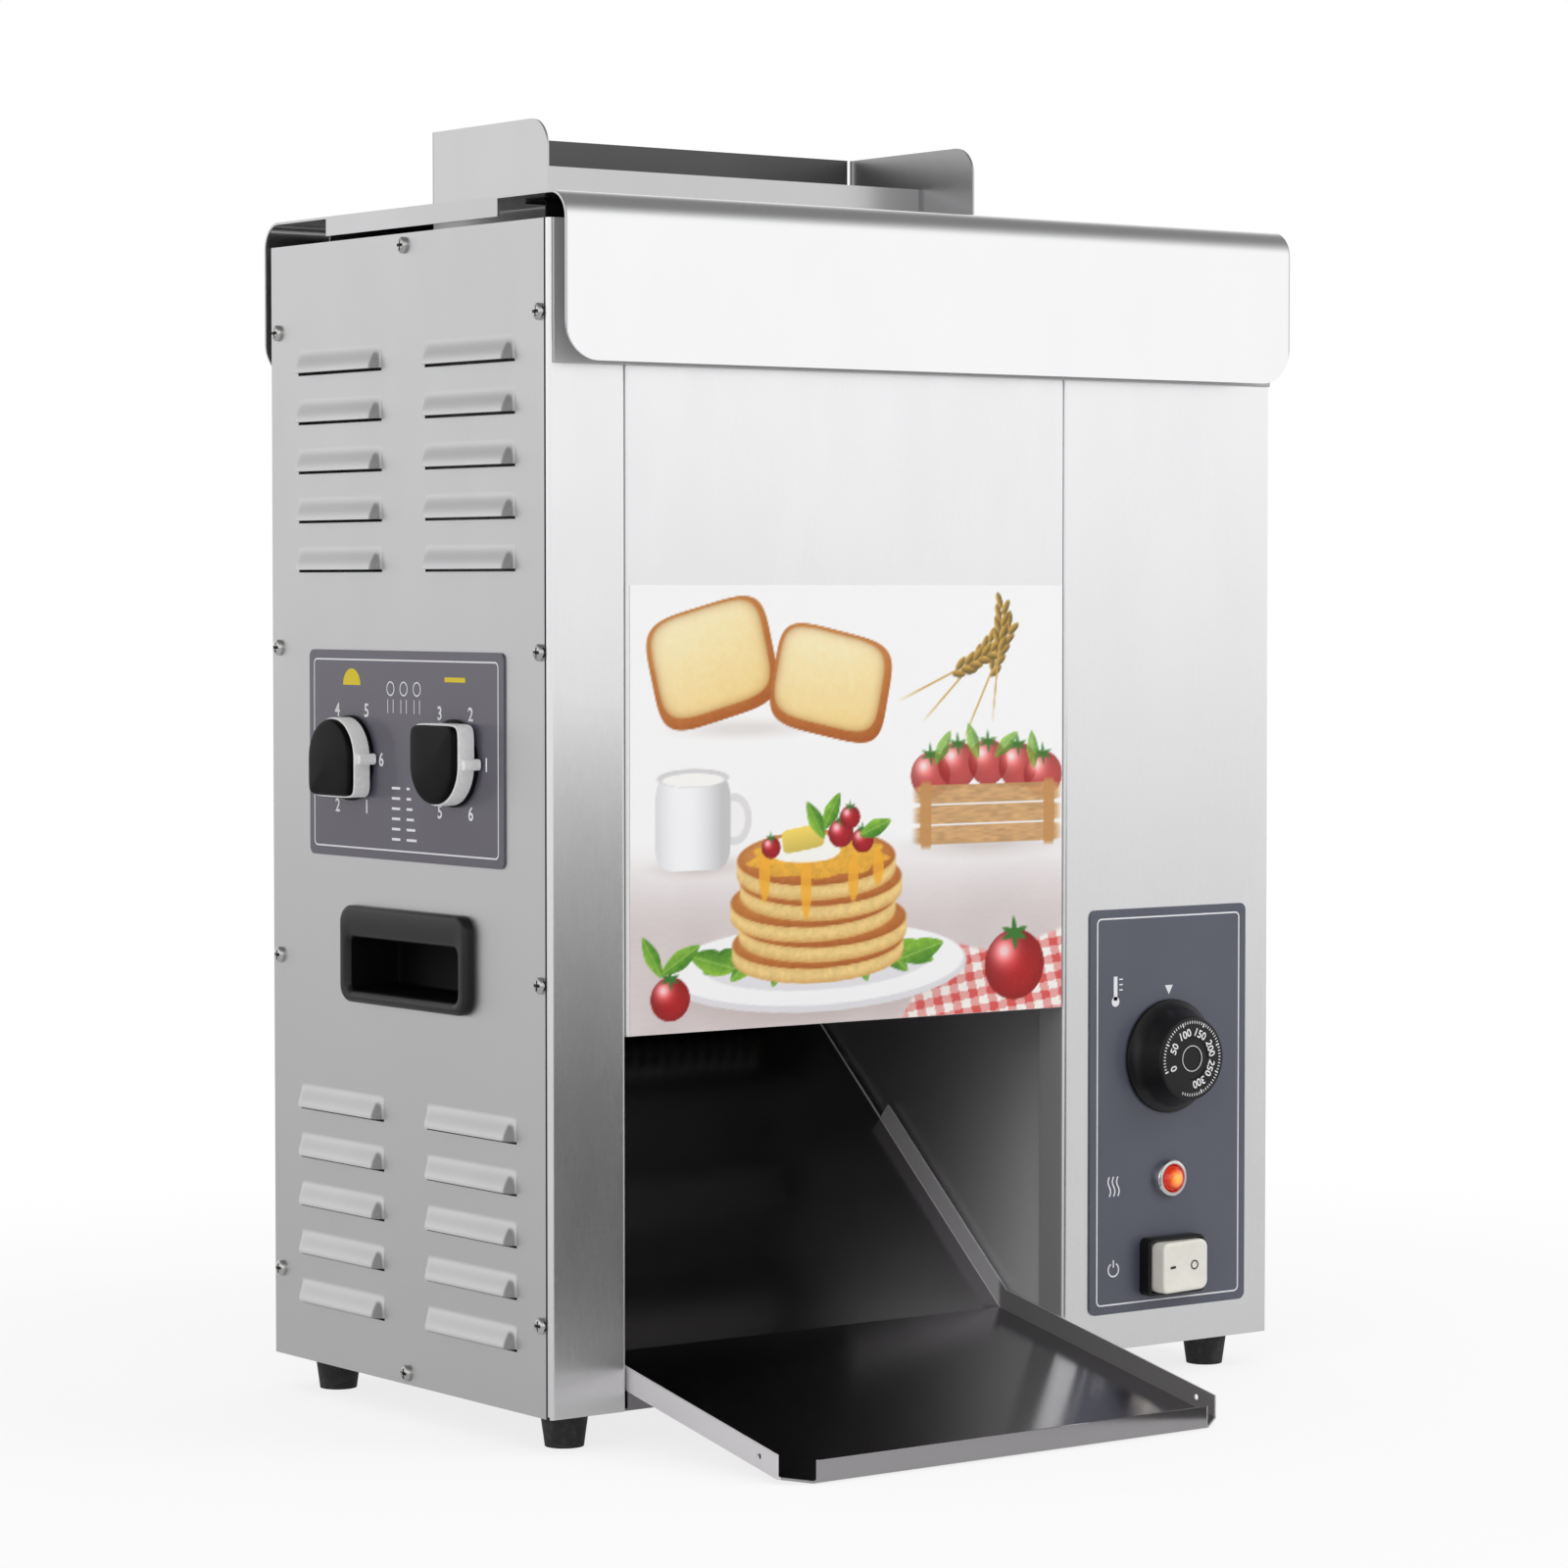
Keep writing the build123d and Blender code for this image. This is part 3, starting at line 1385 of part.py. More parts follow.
heel_cam = snail_cam(heel_knob_place, 0, cam_small_radius, cam_small_radius + cam_travel)
heel_cam.label = "heel_cam"
export_step(heel_cam, "parts/heel_cam.step")

crown_cam = snail_cam(crown_knob_place, 180, cam_small_radius + cam_travel, cam_small_radius)
crown_cam.label = "crown_cam"
export_step(crown_cam, "parts/crown_cam.step")


def compression_knob(y, flat_way):
    """Round skirt with a grip that is squared off above or below, and a pointer nub at the front."""
    skirt_place = -plate_thickness - knob_gap
    with BuildPart() as knob:
        with BuildSketch(across(skirt_place)):
            with Locations((y, knob_height_place)):
                Circle(knob_radius)
            with Locations((y - knob_radius, knob_height_place)):
                Rectangle(2 * knob_nub_length, knob_nub_width)
        extrude(amount=-knob_skirt_thickness)
        with BuildSketch(across(skirt_place - knob_skirt_thickness)):
            with Locations((y, knob_height_place)):
                Circle(knob_grip_radius)
            with Locations((y, knob_height_place + flat_way * knob_flat_share * knob_grip_radius / 2)):
                Rectangle(2 * knob_square_share * knob_grip_radius, knob_flat_share * knob_grip_radius)
            with Locations((y, knob_height_place + flat_way * (1 + knob_flat_share) * knob_grip_radius)):
                Rectangle(2 * knob_radius, 2 * knob_grip_radius, mode=Mode.SUBTRACT)
        extrude(amount=knob_skirt_thickness - skirt_place - knob_reach)
        with BuildSketch(across(skirt_place)):
            with Locations((y, knob_height_place)):
                Circle(cam_shaft_radius + element_clearance)
        extrude(amount=-knob_bore_depth - lap_gap, mode=Mode.SUBTRACT)
    return knob.part


heel_knob = compression_knob(heel_knob_place, 1)
heel_knob.label = "heel_knob"
export_step(heel_knob, "parts/heel_knob.step")

crown_knob = compression_knob(crown_knob_place, -1)
crown_knob.label = "crown_knob"
export_step(crown_knob, "parts/crown_knob.step")


def pressure_plate(rest, way, pin_place):
    """Ribbed plate behind a belt run, with guide ears in the bulkhead slots and a follower arm.

    way is 1 when the plate presses backwards and -1 when it presses forwards.
    """
    plate_left = belt_left + pressure_plate_side_inset
    plate_right = belt_left + belt_width - pressure_plate_side_inset
    plate_top = pressure_plate_bottom + pressure_plate_height
    middle_y = rest + pressure_plate_thickness / 2
    rib_y = middle_y - way * plate_rib_depth / 2
    arm_height = pressure_ear_places[0] + pressure_ear_height / 2
    with BuildPart() as plate:
        with BuildSketch(across(plate_left)):
            with Locations((middle_y, (pressure_plate_bottom + plate_top) / 2)):
                Rectangle(pressure_plate_thickness, pressure_plate_height)
            for z in (pressure_plate_bottom + pressure_plate_thickness / 2,
                      plate_top - pressure_plate_thickness / 2):
                with Locations((rib_y, z)):
                    Rectangle(pressure_plate_thickness + plate_rib_depth, pressure_plate_thickness)
        extrude(amount=plate_right - plate_left)
        ear_start = left_wall - sheet - pressure_ear_reach
        with BuildSketch(across(ear_start)):
            for z in pressure_ear_places:
                with Locations((middle_y, z + pressure_ear_height / 2)):
                    Rectangle(pressure_plate_thickness, pressure_ear_height)
        extrude(amount=right_wall + sheet + pressure_ear_reach - ear_start)
        with BuildSketch(across(arm_place)):
            with Locations((middle_y, arm_height)):
                Rectangle(pressure_plate_thickness, pressure_ear_height)
        extrude(amount=plate_left - arm_place)
        with BuildSketch(across(arm_place)):
            with Locations(((middle_y + pin_place) / 2, arm_height)):
                Rectangle(abs(pin_place - middle_y) + pressure_plate_thickness, pressure_ear_height)
            with Locations((pin_place, (arm_height + pressure_ear_height / 2 + knob_height_place) / 2)):
                Rectangle(arm_width, arm_height + pressure_ear_height / 2 - knob_height_place)
            with Locations((pin_place, knob_height_place)):
                Circle(arm_width / 2)
        extrude(amount=arm_thickness)
        with BuildSketch(across(cam_place - arm_thickness)):
            with Locations((pin_place, knob_height_place)):
                Circle(follower_radius)
        extrude(amount=arm_place + arm_thickness - cam_place)
    return plate.part


heel_pin_place = heel_knob_place + cam_small_radius + follower_radius + follower_gap
heel_pressure_plate = pressure_plate(heel_plate_rest, 1, heel_pin_place)
heel_pressure_plate.label = "heel_pressure_plate"
export_step(heel_pressure_plate, "parts/heel_pressure_plate.step")

crown_pin_place = crown_knob_place - cam_small_radius - cam_travel - follower_radius - follower_gap
crown_pressure_plate = pressure_plate(crown_plate_rest, -1, crown_pin_place)
crown_pressure_plate.label = "crown_pressure_plate"
export_step(crown_pressure_plate, "parts/crown_pressure_plate.step")


# Landing tray: front lip, floor that falls to the front, and the steep chute behind the crease
tray_left = opening_left + tray_side_gap
tray_right = opening_right - tray_side_gap
crease_height = tray_crease_height - half


def floor_height(y):
    """Height of the middle of the tray's sheet, y behind the front face, ahead of the crease."""
    return crease_height - (tray_crease_place - y) * tray_fall


def chute_height(y):
    """Height of the middle of the chute's sheet, y behind the front face."""
    return crease_height + (y - tray_crease_place) * chute_rise


lip_front = half - tray_reach
fold_angle = math.radians((tray_slope + chute_slope) / 2)
fold_stretch = tray_lip / math.cos(math.radians((chute_slope - tray_slope) / 2))
with BuildPart() as landing_tray:
    with BuildSketch(across(tray_left)):
        with BuildLine():
            FilletPolyline(
                (lip_front, floor_height(lip_front) + tray_lip),
                (lip_front, floor_height(lip_front)),
                (tray_crease_place, crease_height),
                (chute_end_place, chute_height(chute_end_place)),
                radius=tray_bend,
            )
        trace(line_width=sheet)
    extrude(amount=tray_right - tray_left)
    for start in (tray_left, tray_right - sheet):
        with BuildSketch(across(start)):
            with BuildLine():
                Polyline(
                    (-tray_side_lip_end, floor_height(-tray_side_lip_end)),
                    (tray_crease_place, crease_height),
                    (chute_lip_end_place, chute_height(chute_lip_end_place)),
                    (chute_lip_end_place - tray_lip * math.sin(math.radians(chute_slope)),
                     chute_height(chute_lip_end_place) + tray_lip * math.cos(math.radians(chute_slope))),
                    (tray_crease_place - fold_stretch * math.sin(fold_angle),
                     crease_height + fold_stretch * math.cos(fold_angle)),
                    (-tray_side_lip_end, floor_height(-tray_side_lip_end) + tray_lip),
                    close=True,
                )
            make_face()
            with Locations((-tray_hole_place, floor_height(-tray_hole_place) + tray_lip / 2)):
                Circle(tray_hole_radius, mode=Mode.SUBTRACT)
        extrude(amount=sheet)
    with BuildSketch(level(-foot_height)):
        for edge, way in ((tray_left, 1), (tray_right, -1)):
            with BuildLine():
                Polyline(
                    (edge - way * over, -tray_side_lip_end),
                    (edge, -tray_side_lip_end),
                    (edge + way * tray_corner_width, -tray_reach),
                    (edge + way * tray_corner_width, -tray_reach - over),
                    (edge - way * over, -tray_reach - over),
                    close=True,
                )
            make_face()
    extrude(amount=foot_height + tray_lip, mode=Mode.SUBTRACT)
landing_tray.part.label = "landing_tray"
export_step(landing_tray.part, "parts/landing_tray.step")


# Bun feeder: side plates, back plate and the divider between the two bun slots
feeder_foot = side_height + seat_gap
with BuildPart() as bun_feeder:
    with BuildSketch(level(feeder_foot)):
        with BuildLine():
            FilletPolyline(
                (feeder_left + half, feeder_front),
                (feeder_left + half, feeder_back - half),
                (feeder_right - sheet - feeder_slit, feeder_back - half),
                radius=bend,
            )
        trace(line_width=sheet)
        with Locations((feeder_right - half, (feeder_front + feeder_back) / 2)):
            Rectangle(sheet, feeder_back - feeder_front)
    extrude(amount=feeder_top - feeder_foot)
    fillet(bun_feeder.edges().filter_by(Axis.X).group_by(Axis.Z)[-1].group_by(Axis.Y)[0],
           radius=feeder_corner)
    with BuildSketch(level(feeder_foot)):
        with Locations(((feeder_left + feeder_right) / 2, platen_centre)):
            Rectangle(feeder_right - feeder_left - sheet, sheet)
    extrude(amount=feeder_divider_top - feeder_foot)
bun_feeder.part.label = "bun_feeder"
export_step(bun_feeder.part, "parts/bun_feeder.step")


# Cord gland in the back panel and the terminal block behind it
with BuildPart() as cord_gland:
    with BuildSketch(facing(body_depth)):
        with Locations((gland_place, gland_height_place)):
            Circle(gland_radius)
    extrude(amount=-gland_reach)
    chamfer(cord_gland.edges().group_by(Axis.Y)[-1], length=gland_chamfer)
    with BuildSketch(facing(body_depth)):
        with Locations((gland_place, gland_height_place)):
            Circle(gland_thread_radius)
    extrude(amount=gland_inner_length)
    with BuildSketch(facing(body_depth - sheet)):
        with Locations((gland_place, gland_height_place)):
            RegularPolygon(gland_radius, hex_sides)
    extrude(amount=gland_nut_thickness)
    with BuildSketch(facing(body_depth + gland_reach)):
        with Locations((gland_place, gland_height_place)):
            Circle(gland_bore_radius)
    extrude(amount=gland_reach + gland_inner_length, mode=Mode.SUBTRACT)
cord_gland.part.label = "cord_gland"
export_step(cord_gland.part, "parts/cord_gland.step")

terminal_back = body_depth - sheet - terminal_gap
with BuildPart() as terminal_block:
    with BuildSketch(facing(terminal_back)):
        with Locations((gland_place, gland_height_place + terminal_rise)):
            Rectangle(terminal_width, terminal_height)
    extrude(amount=terminal_depth)
    with BuildSketch(facing(terminal_back - terminal_depth)):
        with Locations((gland_place, gland_height_place + terminal_rise)):
            with GridLocations(terminal_width / terminal_ways, terminal_height, terminal_ways, 1):
                Rectangle(terminal_slot, terminal_height - terminal_slot)
    extrude(amount=-terminal_slot_depth, mode=Mode.SUBTRACT)
terminal_block.part.label = "terminal_block"
export_step(terminal_block.part, "parts/terminal_block.step")
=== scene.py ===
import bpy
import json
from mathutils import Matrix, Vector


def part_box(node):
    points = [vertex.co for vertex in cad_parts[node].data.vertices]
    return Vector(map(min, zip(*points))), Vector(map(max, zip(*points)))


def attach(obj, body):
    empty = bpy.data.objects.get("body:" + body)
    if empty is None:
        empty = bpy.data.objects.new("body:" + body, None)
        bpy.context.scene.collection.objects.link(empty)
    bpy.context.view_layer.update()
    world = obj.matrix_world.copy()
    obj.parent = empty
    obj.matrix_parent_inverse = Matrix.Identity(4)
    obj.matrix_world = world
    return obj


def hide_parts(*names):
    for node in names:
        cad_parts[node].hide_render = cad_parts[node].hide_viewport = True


bl_info = {
    "name": "Conveyor bun toaster",
    "version": (1, 0, 0),
    "blender": (4, 5, 0),
    "location": "3D View > Sidebar > Bun toaster",
    "description": "Dresses the packed bun toaster: pressed panels, controls, prints, finishes and studio",
    "category": "Object",
}

import json
import math
from collections import namedtuple

import bmesh
import bpy
import numpy as np
from bpy.props import FloatProperty, FloatVectorProperty, IntProperty, PointerProperty
from bpy.types import Operator, Panel, PropertyGroup

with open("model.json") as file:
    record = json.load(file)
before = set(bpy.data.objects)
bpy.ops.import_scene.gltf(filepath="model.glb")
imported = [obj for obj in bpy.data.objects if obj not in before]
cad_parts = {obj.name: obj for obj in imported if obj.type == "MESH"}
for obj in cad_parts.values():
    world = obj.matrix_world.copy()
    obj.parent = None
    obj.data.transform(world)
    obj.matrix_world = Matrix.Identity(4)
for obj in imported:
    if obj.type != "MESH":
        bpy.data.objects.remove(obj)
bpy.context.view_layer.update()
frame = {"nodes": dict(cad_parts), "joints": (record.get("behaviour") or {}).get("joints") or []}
NODES = frame["nodes"]

# The body's flat outer faces, read from the nodes that end on them
BODY_LEFT, BODY_RIGHT = (corner.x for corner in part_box("hood"))
BODY_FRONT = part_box("front_panel")[0].y
BODY_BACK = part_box("back_panel")[1].y
BODY_FOOT, BODY_TOP = (corner.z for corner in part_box("left_side_panel"))
DEPTH = BODY_BACK - BODY_FRONT
TALL = BODY_TOP - BODY_FOOT
MIDDLE = (BODY_LEFT + BODY_RIGHT) / 2

# A print's height over its surface, the depth that still belongs to a sheet's outer face, the soft width
# of a crisp edge in a finish, and the height of a figure in type of size 1
PRINT_GAP = 0.00006
SKIN = 0.0006
CRISP = 0.0002
FIGURE_TALL = 0.7

# How a steel's grain is squeezed along x, y and z
UPRIGHT = (60, 60, 1)
LEVEL = (1, 60, 60)
FORE_AND_AFT = (60, 1, 60)


def length(name, default, note):
    """A size in metres that a user may change."""
    return FloatProperty(name=name, default=default, description=note, unit="LENGTH", precision=5)


def tone(name, red, green, blue, note):
    """A colour that a user may change, given in display values."""
    return FloatVectorProperty(
        name=name, default=(red, green, blue), description=note, subtype="COLOR_GAMMA", size=3, min=0, max=1)


class ToasterSizes(PropertyGroup):
    sheet: length("Sheet", 0.0012, "Thickness of the side panels")
    louvre_height: length("Louvre height", 0.013, "From a louvre's open edge to its top")
    louvre_depth: length("Louvre depth", 0.0042, "How far a louvre stands out")
    louvre_slope: length("Louvre end slope", 0.0048, "Length of the rounded run at both ends of a louvre")
    louvre_slot: length("Louvre slot", 0.001, "Height of the dark slot below a louvre's open edge")
    louvre_front_margin: length("Louvre front margin", 0.02975, "From the front face to the first louvre")
    louvre_back_margin: length("Louvre back margin", 0.02725, "From the last louvre to the back")
    louvre_gap: length("Louvre gap", 0.041, "Between the two columns of louvres")
    louvre_pitch: length("Louvre pitch", 0.0256, "From one louvre to the next above it")
    lower_louvres: length("Lower louvres", 0.0302, "Height of the lowest louvre above the body's underside")
    upper_louvres: length("Upper louvres", 0.4138, "Height of the upper group's lowest louvre")
    louvre_rows: IntProperty(name="Louvre rows", default=5, min=1, description="Louvres above each other")
    screw_radius: length("Screw head radius", 0.0042, "Pan heads on the side panels")
    screw_height: length("Screw head height", 0.0028, "How far a pan head stands out")
    handle_rim: length("Handle rim", 0.0085, "Width of the rim beside the hand hold")
    handle_bar: length("Handle bar", 0.0165, "Height of the bar that the fingers pull on")
    handle_sill: length("Handle sill", 0.0065, "Height of the rim below the hand hold")
    handle_corner: length("Handle corner", 0.009, "Outer corner radius of the handle's rim")
    plate_border: length("Plate border", 0.0045, "From a plate's edge to its printed border")
    border_line: length("Border line", 0.0008, "Width of the printed border")
    numeral: length("Numeral height", 0.0068, "Height of the figures on the plates")
    dial_numeral: length("Dial numeral height", 0.0042, "Height of the figures on the dial")
    number_ring: length("Number ring", 0.0285, "Distance of the knobs' figures from their axes")


class ToasterColours(PropertyGroup):
    front_steel: tone("Front steel", 0.97, 0.97, 0.975, "Bright satin steel of the front and the hood")
    # The side steel is the front's steel painted darker: painted shade on the faces that don't face the
    # front, the side and back panels and the hood's end edges
    side_steel: tone("Side steel", 0.835, 0.835, 0.84, "Satin steel of the side panels")
    inner_steel: tone("Inner steel", 0.7, 0.69, 0.7, "Darker steel inside the body")
    tray_steel: tone("Tray steel", 0.86, 0.85, 0.86, "Mirror steel of the chute and landing tray")
    plate: tone("Plate", 0.325, 0.335, 0.39, "Slate paint of the control plates")
    plate_warm: tone("Warm plate", 0.375, 0.34, 0.375, "Warmer cast of the side's control plate")
    ink: tone("Ink", 0.96, 0.96, 0.97, "Light print on the plates and the dial")
    mark: tone("Mark", 0.93, 0.83, 0.1, "Yellow marks above the knobs")
    plastic: tone("Black plastic", 0.075, 0.075, 0.08, "Knobs, dial, handles and bezels")
    rocker: tone("Rocker", 0.93, 0.92, 0.88, "Cream switch rocker")
    lens: tone("Lens", 0.86, 0.12, 0.03, "Red amber of the indicator lamp")


def sizes():
    return bpy.context.scene.toaster_sizes


def linear(colour):
    """Display values as the linear values that a shader takes, by the sRGB curve."""
    c = np.asarray(colour, float)
    return np.where(c <= 0.04045, c / 12.92, ((c + 0.055) / 1.055) ** 2.4)


def shade(name, factor=1.0):
    """A named colour of the panel, made darker or lighter by a factor."""
    return tuple(min(1.0, v * factor) for v in linear(getattr(bpy.context.scene.toaster_colours, name)))


def grey(level):
    return (level, level, level)


def operator(operation, turned=False):
    """A Python operator that adds a Math node, whose two sides may be turned round."""
    def apply(self, *others):
        return self.wiring.math(operation, *((*others, self) if turned else (self, *others)))
    return apply


class Value:
    """What an output of a node gives. Python's operators on it add Math nodes, and a | b is the greater
    of two values."""

    __add__ = __radd__ = operator("ADD")
    __mul__ = __rmul__ = operator("MULTIPLY")
    __sub__ = operator("SUBTRACT")
    __rsub__ = operator("SUBTRACT", turned=True)
    __pow__ = operator("POWER")
    __or__ = operator("MAXIMUM")
    __abs__ = operator("ABSOLUTE")

    def __init__(self, wiring, socket):
        self.wiring = wiring
        self.socket = socket

    def out(self, output):
        """Another output of the same node."""
        return Value(self.wiring, self.socket.node.outputs[output])

    def above(self, edge, soft):
        """0 below the edge and 1 above it, with a smooth step over a soft width centred on it."""
        ends = {"Value": self, "From Min": edge - soft / 2, "From Max": edge + soft / 2}
        return self.wiring.node("MapRange", ends, "Result", interpolation_type="SMOOTHSTEP")

    def between(self, low, high, soft):
        """1 between two edges and 0 outside them."""
        return self.above(low, soft) * (1 - self.above(high, soft))

    def swing(self, reach):
        """Noise as a change to either side of 0, half the reach each way."""
        return (self - 0.5) * reach


class Wiring:
    """A node tree that expressions add their nodes to."""

    def __init__(self, tree):
        self.tree = tree

    def plug(self, socket, value):
        """Links a value to an input, or sets the input: a colour is given as red, green and blue."""
        if isinstance(value, Value):
            self.tree.links.new(value.socket, socket)
        else:
            socket.default_value = (*value, 1) if socket.type == "RGBA" else value

    def node(self, kind, inputs=None, output=0, **settings):
        """Adds a node with its settings and inputs, and gives one of its outputs."""
        made = self.tree.nodes.new("ShaderNode" + kind)
        for key, value in settings.items():
            setattr(made, key, value)
        for key, value in (inputs or {}).items():
            self.plug(made.inputs[key], value)
        return Value(self, made.outputs[output])

    def math(self, operation, *values):
        return self.node("Math", dict(enumerate(values)), operation=operation)

    def rays(self):
        """1 where the camera looks, and 1 where polished metal or glass mirrors."""
        seen = self.node("LightPath", output="Is Camera Ray")
        return seen, seen.out("Is Glossy Ray") | seen.out("Is Transmission Ray")


class Finish(Wiring):
    """A material written as expressions. Values that vary go only to the sockets that can be baked."""

    def __init__(self, name):
        self.material = bpy.data.materials.new(name)
        self.material.use_nodes = True
        super().__init__(self.material.node_tree)
        self.shader = self.tree.nodes["Principled BSDF"]

    def place(self, stretch):
        """Object coordinates, stretched along each axis."""
        here = self.node("TexCoord", output="Object")
        return self.node("VectorMath", {0: here, 1: stretch}, operation="MULTIPLY")

    def axes(self):
        """The three object coordinates as numbers."""
        x = self.node("SeparateXYZ", {0: self.node("TexCoord", output="Object")})
        return x, x.out(1), x.out(2)

    def noise(self, scale, detail, roughness=0.5, stretch=(1, 1, 1)):
        """Smooth noise from 0 to 1, with a mean of 0.5; scale is in features per metre."""
        return self.node("TexNoise", {
            "Vector": self.place(stretch), "Scale": scale, "Detail": detail, "Roughness": roughness})

    def mix(self, factor, first, second):
        """A colour between two colours."""
        return self.node("Mix", {0: factor, 6: first, 7: second}, 2, data_type="RGBA")

    def surface(self, **values):
        """Sets the shader's inputs: a word's underscores stand for spaces."""
        for key, value in values.items():
            self.plug(self.shader.inputs[key.replace("_", " ")], value)

    def bump(self, height, distance, strength):
        inputs = {"Height": height, "Distance": distance, "Strength": strength}
        self.surface(Normal=self.node("Bump", inputs))


def brushed_steel(name, steel, tones, roughness, grain, marks=1.0, metallic=1.0, patch=None, change=None):
    """Satin steel: fine grain along one axis, soft cloudiness, faint wiping smears and sparse scratches.

    Its light and dark tone are factors of one of the panel's steels. A patch is a function from the finish
    to a mask, and change is the colour, the metallic value and the added roughness where the mask is 1.
    """
    f = Finish(name)
    fine = f.noise(900.0, 3.0, 0.6, grain)
    cloud = f.noise(7.0, 3.0)
    smear = f.noise(26.0, 4.0, 0.6, (1.0, 1.0, 0.35))
    scratch = f.noise(260.0, 1.0, stretch=tuple(np.array(grain) * 0.7 + 0.02)).above(0.74, 0.03) * marks
    light, dark = (shade(steel, factor) for factor in tones)
    colour = f.mix(cloud.swing(0.5) + fine.swing(0.35) + 0.5, dark, light)
    rough = cloud.swing(0.08) + fine.swing(0.09) + smear.swing(0.1) * marks + scratch * 0.08 + roughness
    if patch:
        mask = patch(f) * (0.94 + cloud * 0.12)
        colour = f.mix(mask, colour, change[0])
        metallic = mask * (change[1] - metallic) + metallic
        rough = rough + mask * change[2]
    f.surface(Base_Color=colour, Metallic=metallic, Roughness=rough)
    f.bump(fine * 0.6 + scratch * 0.4, 0.00002, 0.35)
    return f.material


def louvre_columns():
    """The louvres' length, and how far behind the body's front each of their columns starts."""
    s = sizes()
    long = (DEPTH - s.louvre_front_margin - s.louvre_back_margin - s.louvre_gap) / 2
    return long, (s.louvre_front_margin, s.louvre_front_margin + long + s.louvre_gap)


def front_seam(f):
    """Painted shade: the dark joint along a side panel's front edge, standing for the shade in the gap
    beside the column, and the shade on the louvres' front ends.
    """
    joint, ahead, end = 0.0013, 0.001, 0.006
    x, y = f.axes()[:2]
    seam = 1 - y.above(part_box("left_side_panel")[0].y + joint, 0.0003)
    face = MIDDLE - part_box("left_control_plate")[1].x
    raised = abs(x - MIDDLE).above(face + 0.0011, 0.001)
    first, second = (y.between(BODY_FRONT + start - ahead, BODY_FRONT + start + end, 0.003)
                     for start in louvre_columns()[1])
    # Painted shade in the front joint's gap and on the louvres' front ends
    return seam | raised * (first + second) * 0.57


def opening_jambs(f):
    """Painted light on the columns' flanges beside the opening: a duller, less metallic grey that stands for
    the daylight reaching them from the side.
    """
    sheet, column = 0.0014, 0.02
    x, y = f.axes()[:2]
    return y.above(BODY_FRONT + sheet, 0.0004) * x.between(BODY_LEFT + column, BODY_RIGHT - column, 0.001)


def hood_ends(f):
    """Painted shade on the sheet's edges at the hood's open ends, which face sideways and take the side
    panels' darker steel.
    """
    edge = (BODY_RIGHT - BODY_LEFT) / 2 - 0.0008
    return abs(f.axes()[0] - MIDDLE).above(edge, CRISP)


def hood_gap(f):
    """Painted shade on the front of the top deck and of the hood's rails, which shows in the hood's open
    end, where no light comes."""
    return 1 - f.axes()[1].above(BODY_FRONT + 0.17, 0.06)


def feeder_inside(f):
    """Painted shade on the feeder's inner faces, most on its back plate."""
    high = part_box("bun_feeder")[1]
    x, y = f.axes()[:2]
    return (y.between(high.y - 0.0022, high.y - SKIN, CRISP)
            | x.between(high.x - 0.003, high.x - SKIN, CRISP) * 0.35)


def wall_light(f):
    """Painted light where the opening's side walls catch the daylight: low and near the front."""
    y, z = f.axes()[1:]
    return (1 - y.above(BODY_FRONT + 0.08, 0.2)) * (1 - z.above(BODY_FOOT + 0.17, 0.3))


def tray_steel():
    """Mirror steel of the chute and tray, with painted shade that darkens it up the chute, and painted light
    that makes its folded lips pale, duller and less metallic, but for the inner face of the right one in
    front of the crease, which takes painted shade."""
    fold = 0.0016
    low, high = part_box("landing_tray")
    f = Finish("tray_steel")
    x, y, z = f.axes()
    fine = f.noise(900.0, 3.0, 0.6, LEVEL)
    cloud = f.noise(9.0, 3.0)
    smear = f.noise(30.0, 4.0, 0.6)
    # The lips' pale, barely metallic tone is painted light; the right lip's inner face in front of the
    # crease takes painted shade
    lip = x.above(high.x - fold, CRISP) | (1 - x.above(low.x + fold, CRISP))
    shaded = x.between(high.x - fold, high.x - SKIN, CRISP) * (1 - y.above(BODY_FRONT + 0.05, 0.004))
    # Painted shade, darker up the chute inside the body
    inside = z.above(BODY_FOOT + 0.06, 0.12) * (1 - lip) * 0.7
    steel = f.mix(cloud.swing(0.5) + fine * 0.5, shade("tray_steel", 0.66), shade("tray_steel", 0.82))
    steel = f.mix(inside, steel, shade("tray_steel", 0.16))
    f.surface(
        Base_Color=f.mix(lip, steel, f.mix(shaded, shade("tray_steel", 1.1), shade("tray_steel", 0.42))),
        Metallic=1 - lip * 0.75, Roughness=fine.swing(0.07) + smear.swing(0.08) + lip * 0.22 + 0.15)
    f.bump(fine, 0.00002, 0.3)
    return f.material


def wire_belt():
    """Woven wire: cross rods and links in waves along the belt's width and height, over dark gaps."""
    rod_pitch, link_pitch = 0.0065, 0.009
    f = Finish("belt_wire")
    x, z = f.axes()[::2]
    soot = f.noise(24.0, 4.0, 0.6)
    wire = f.math("SINE", z * (2 * math.pi / rod_pitch)) | f.math("SINE", x * (2 * math.pi / link_pitch))
    cover = wire.above(0.45, 0.4)
    f.surface(
        Base_Color=f.mix(cover, (0.03, 0.028, 0.026), f.mix(soot, (0.3, 0.28, 0.26), (0.56, 0.55, 0.54))),
        Metallic=cover, Roughness=soot.swing(0.3) + 0.34)
    f.bump(wire, 0.0006, 0.8)
    return f.material


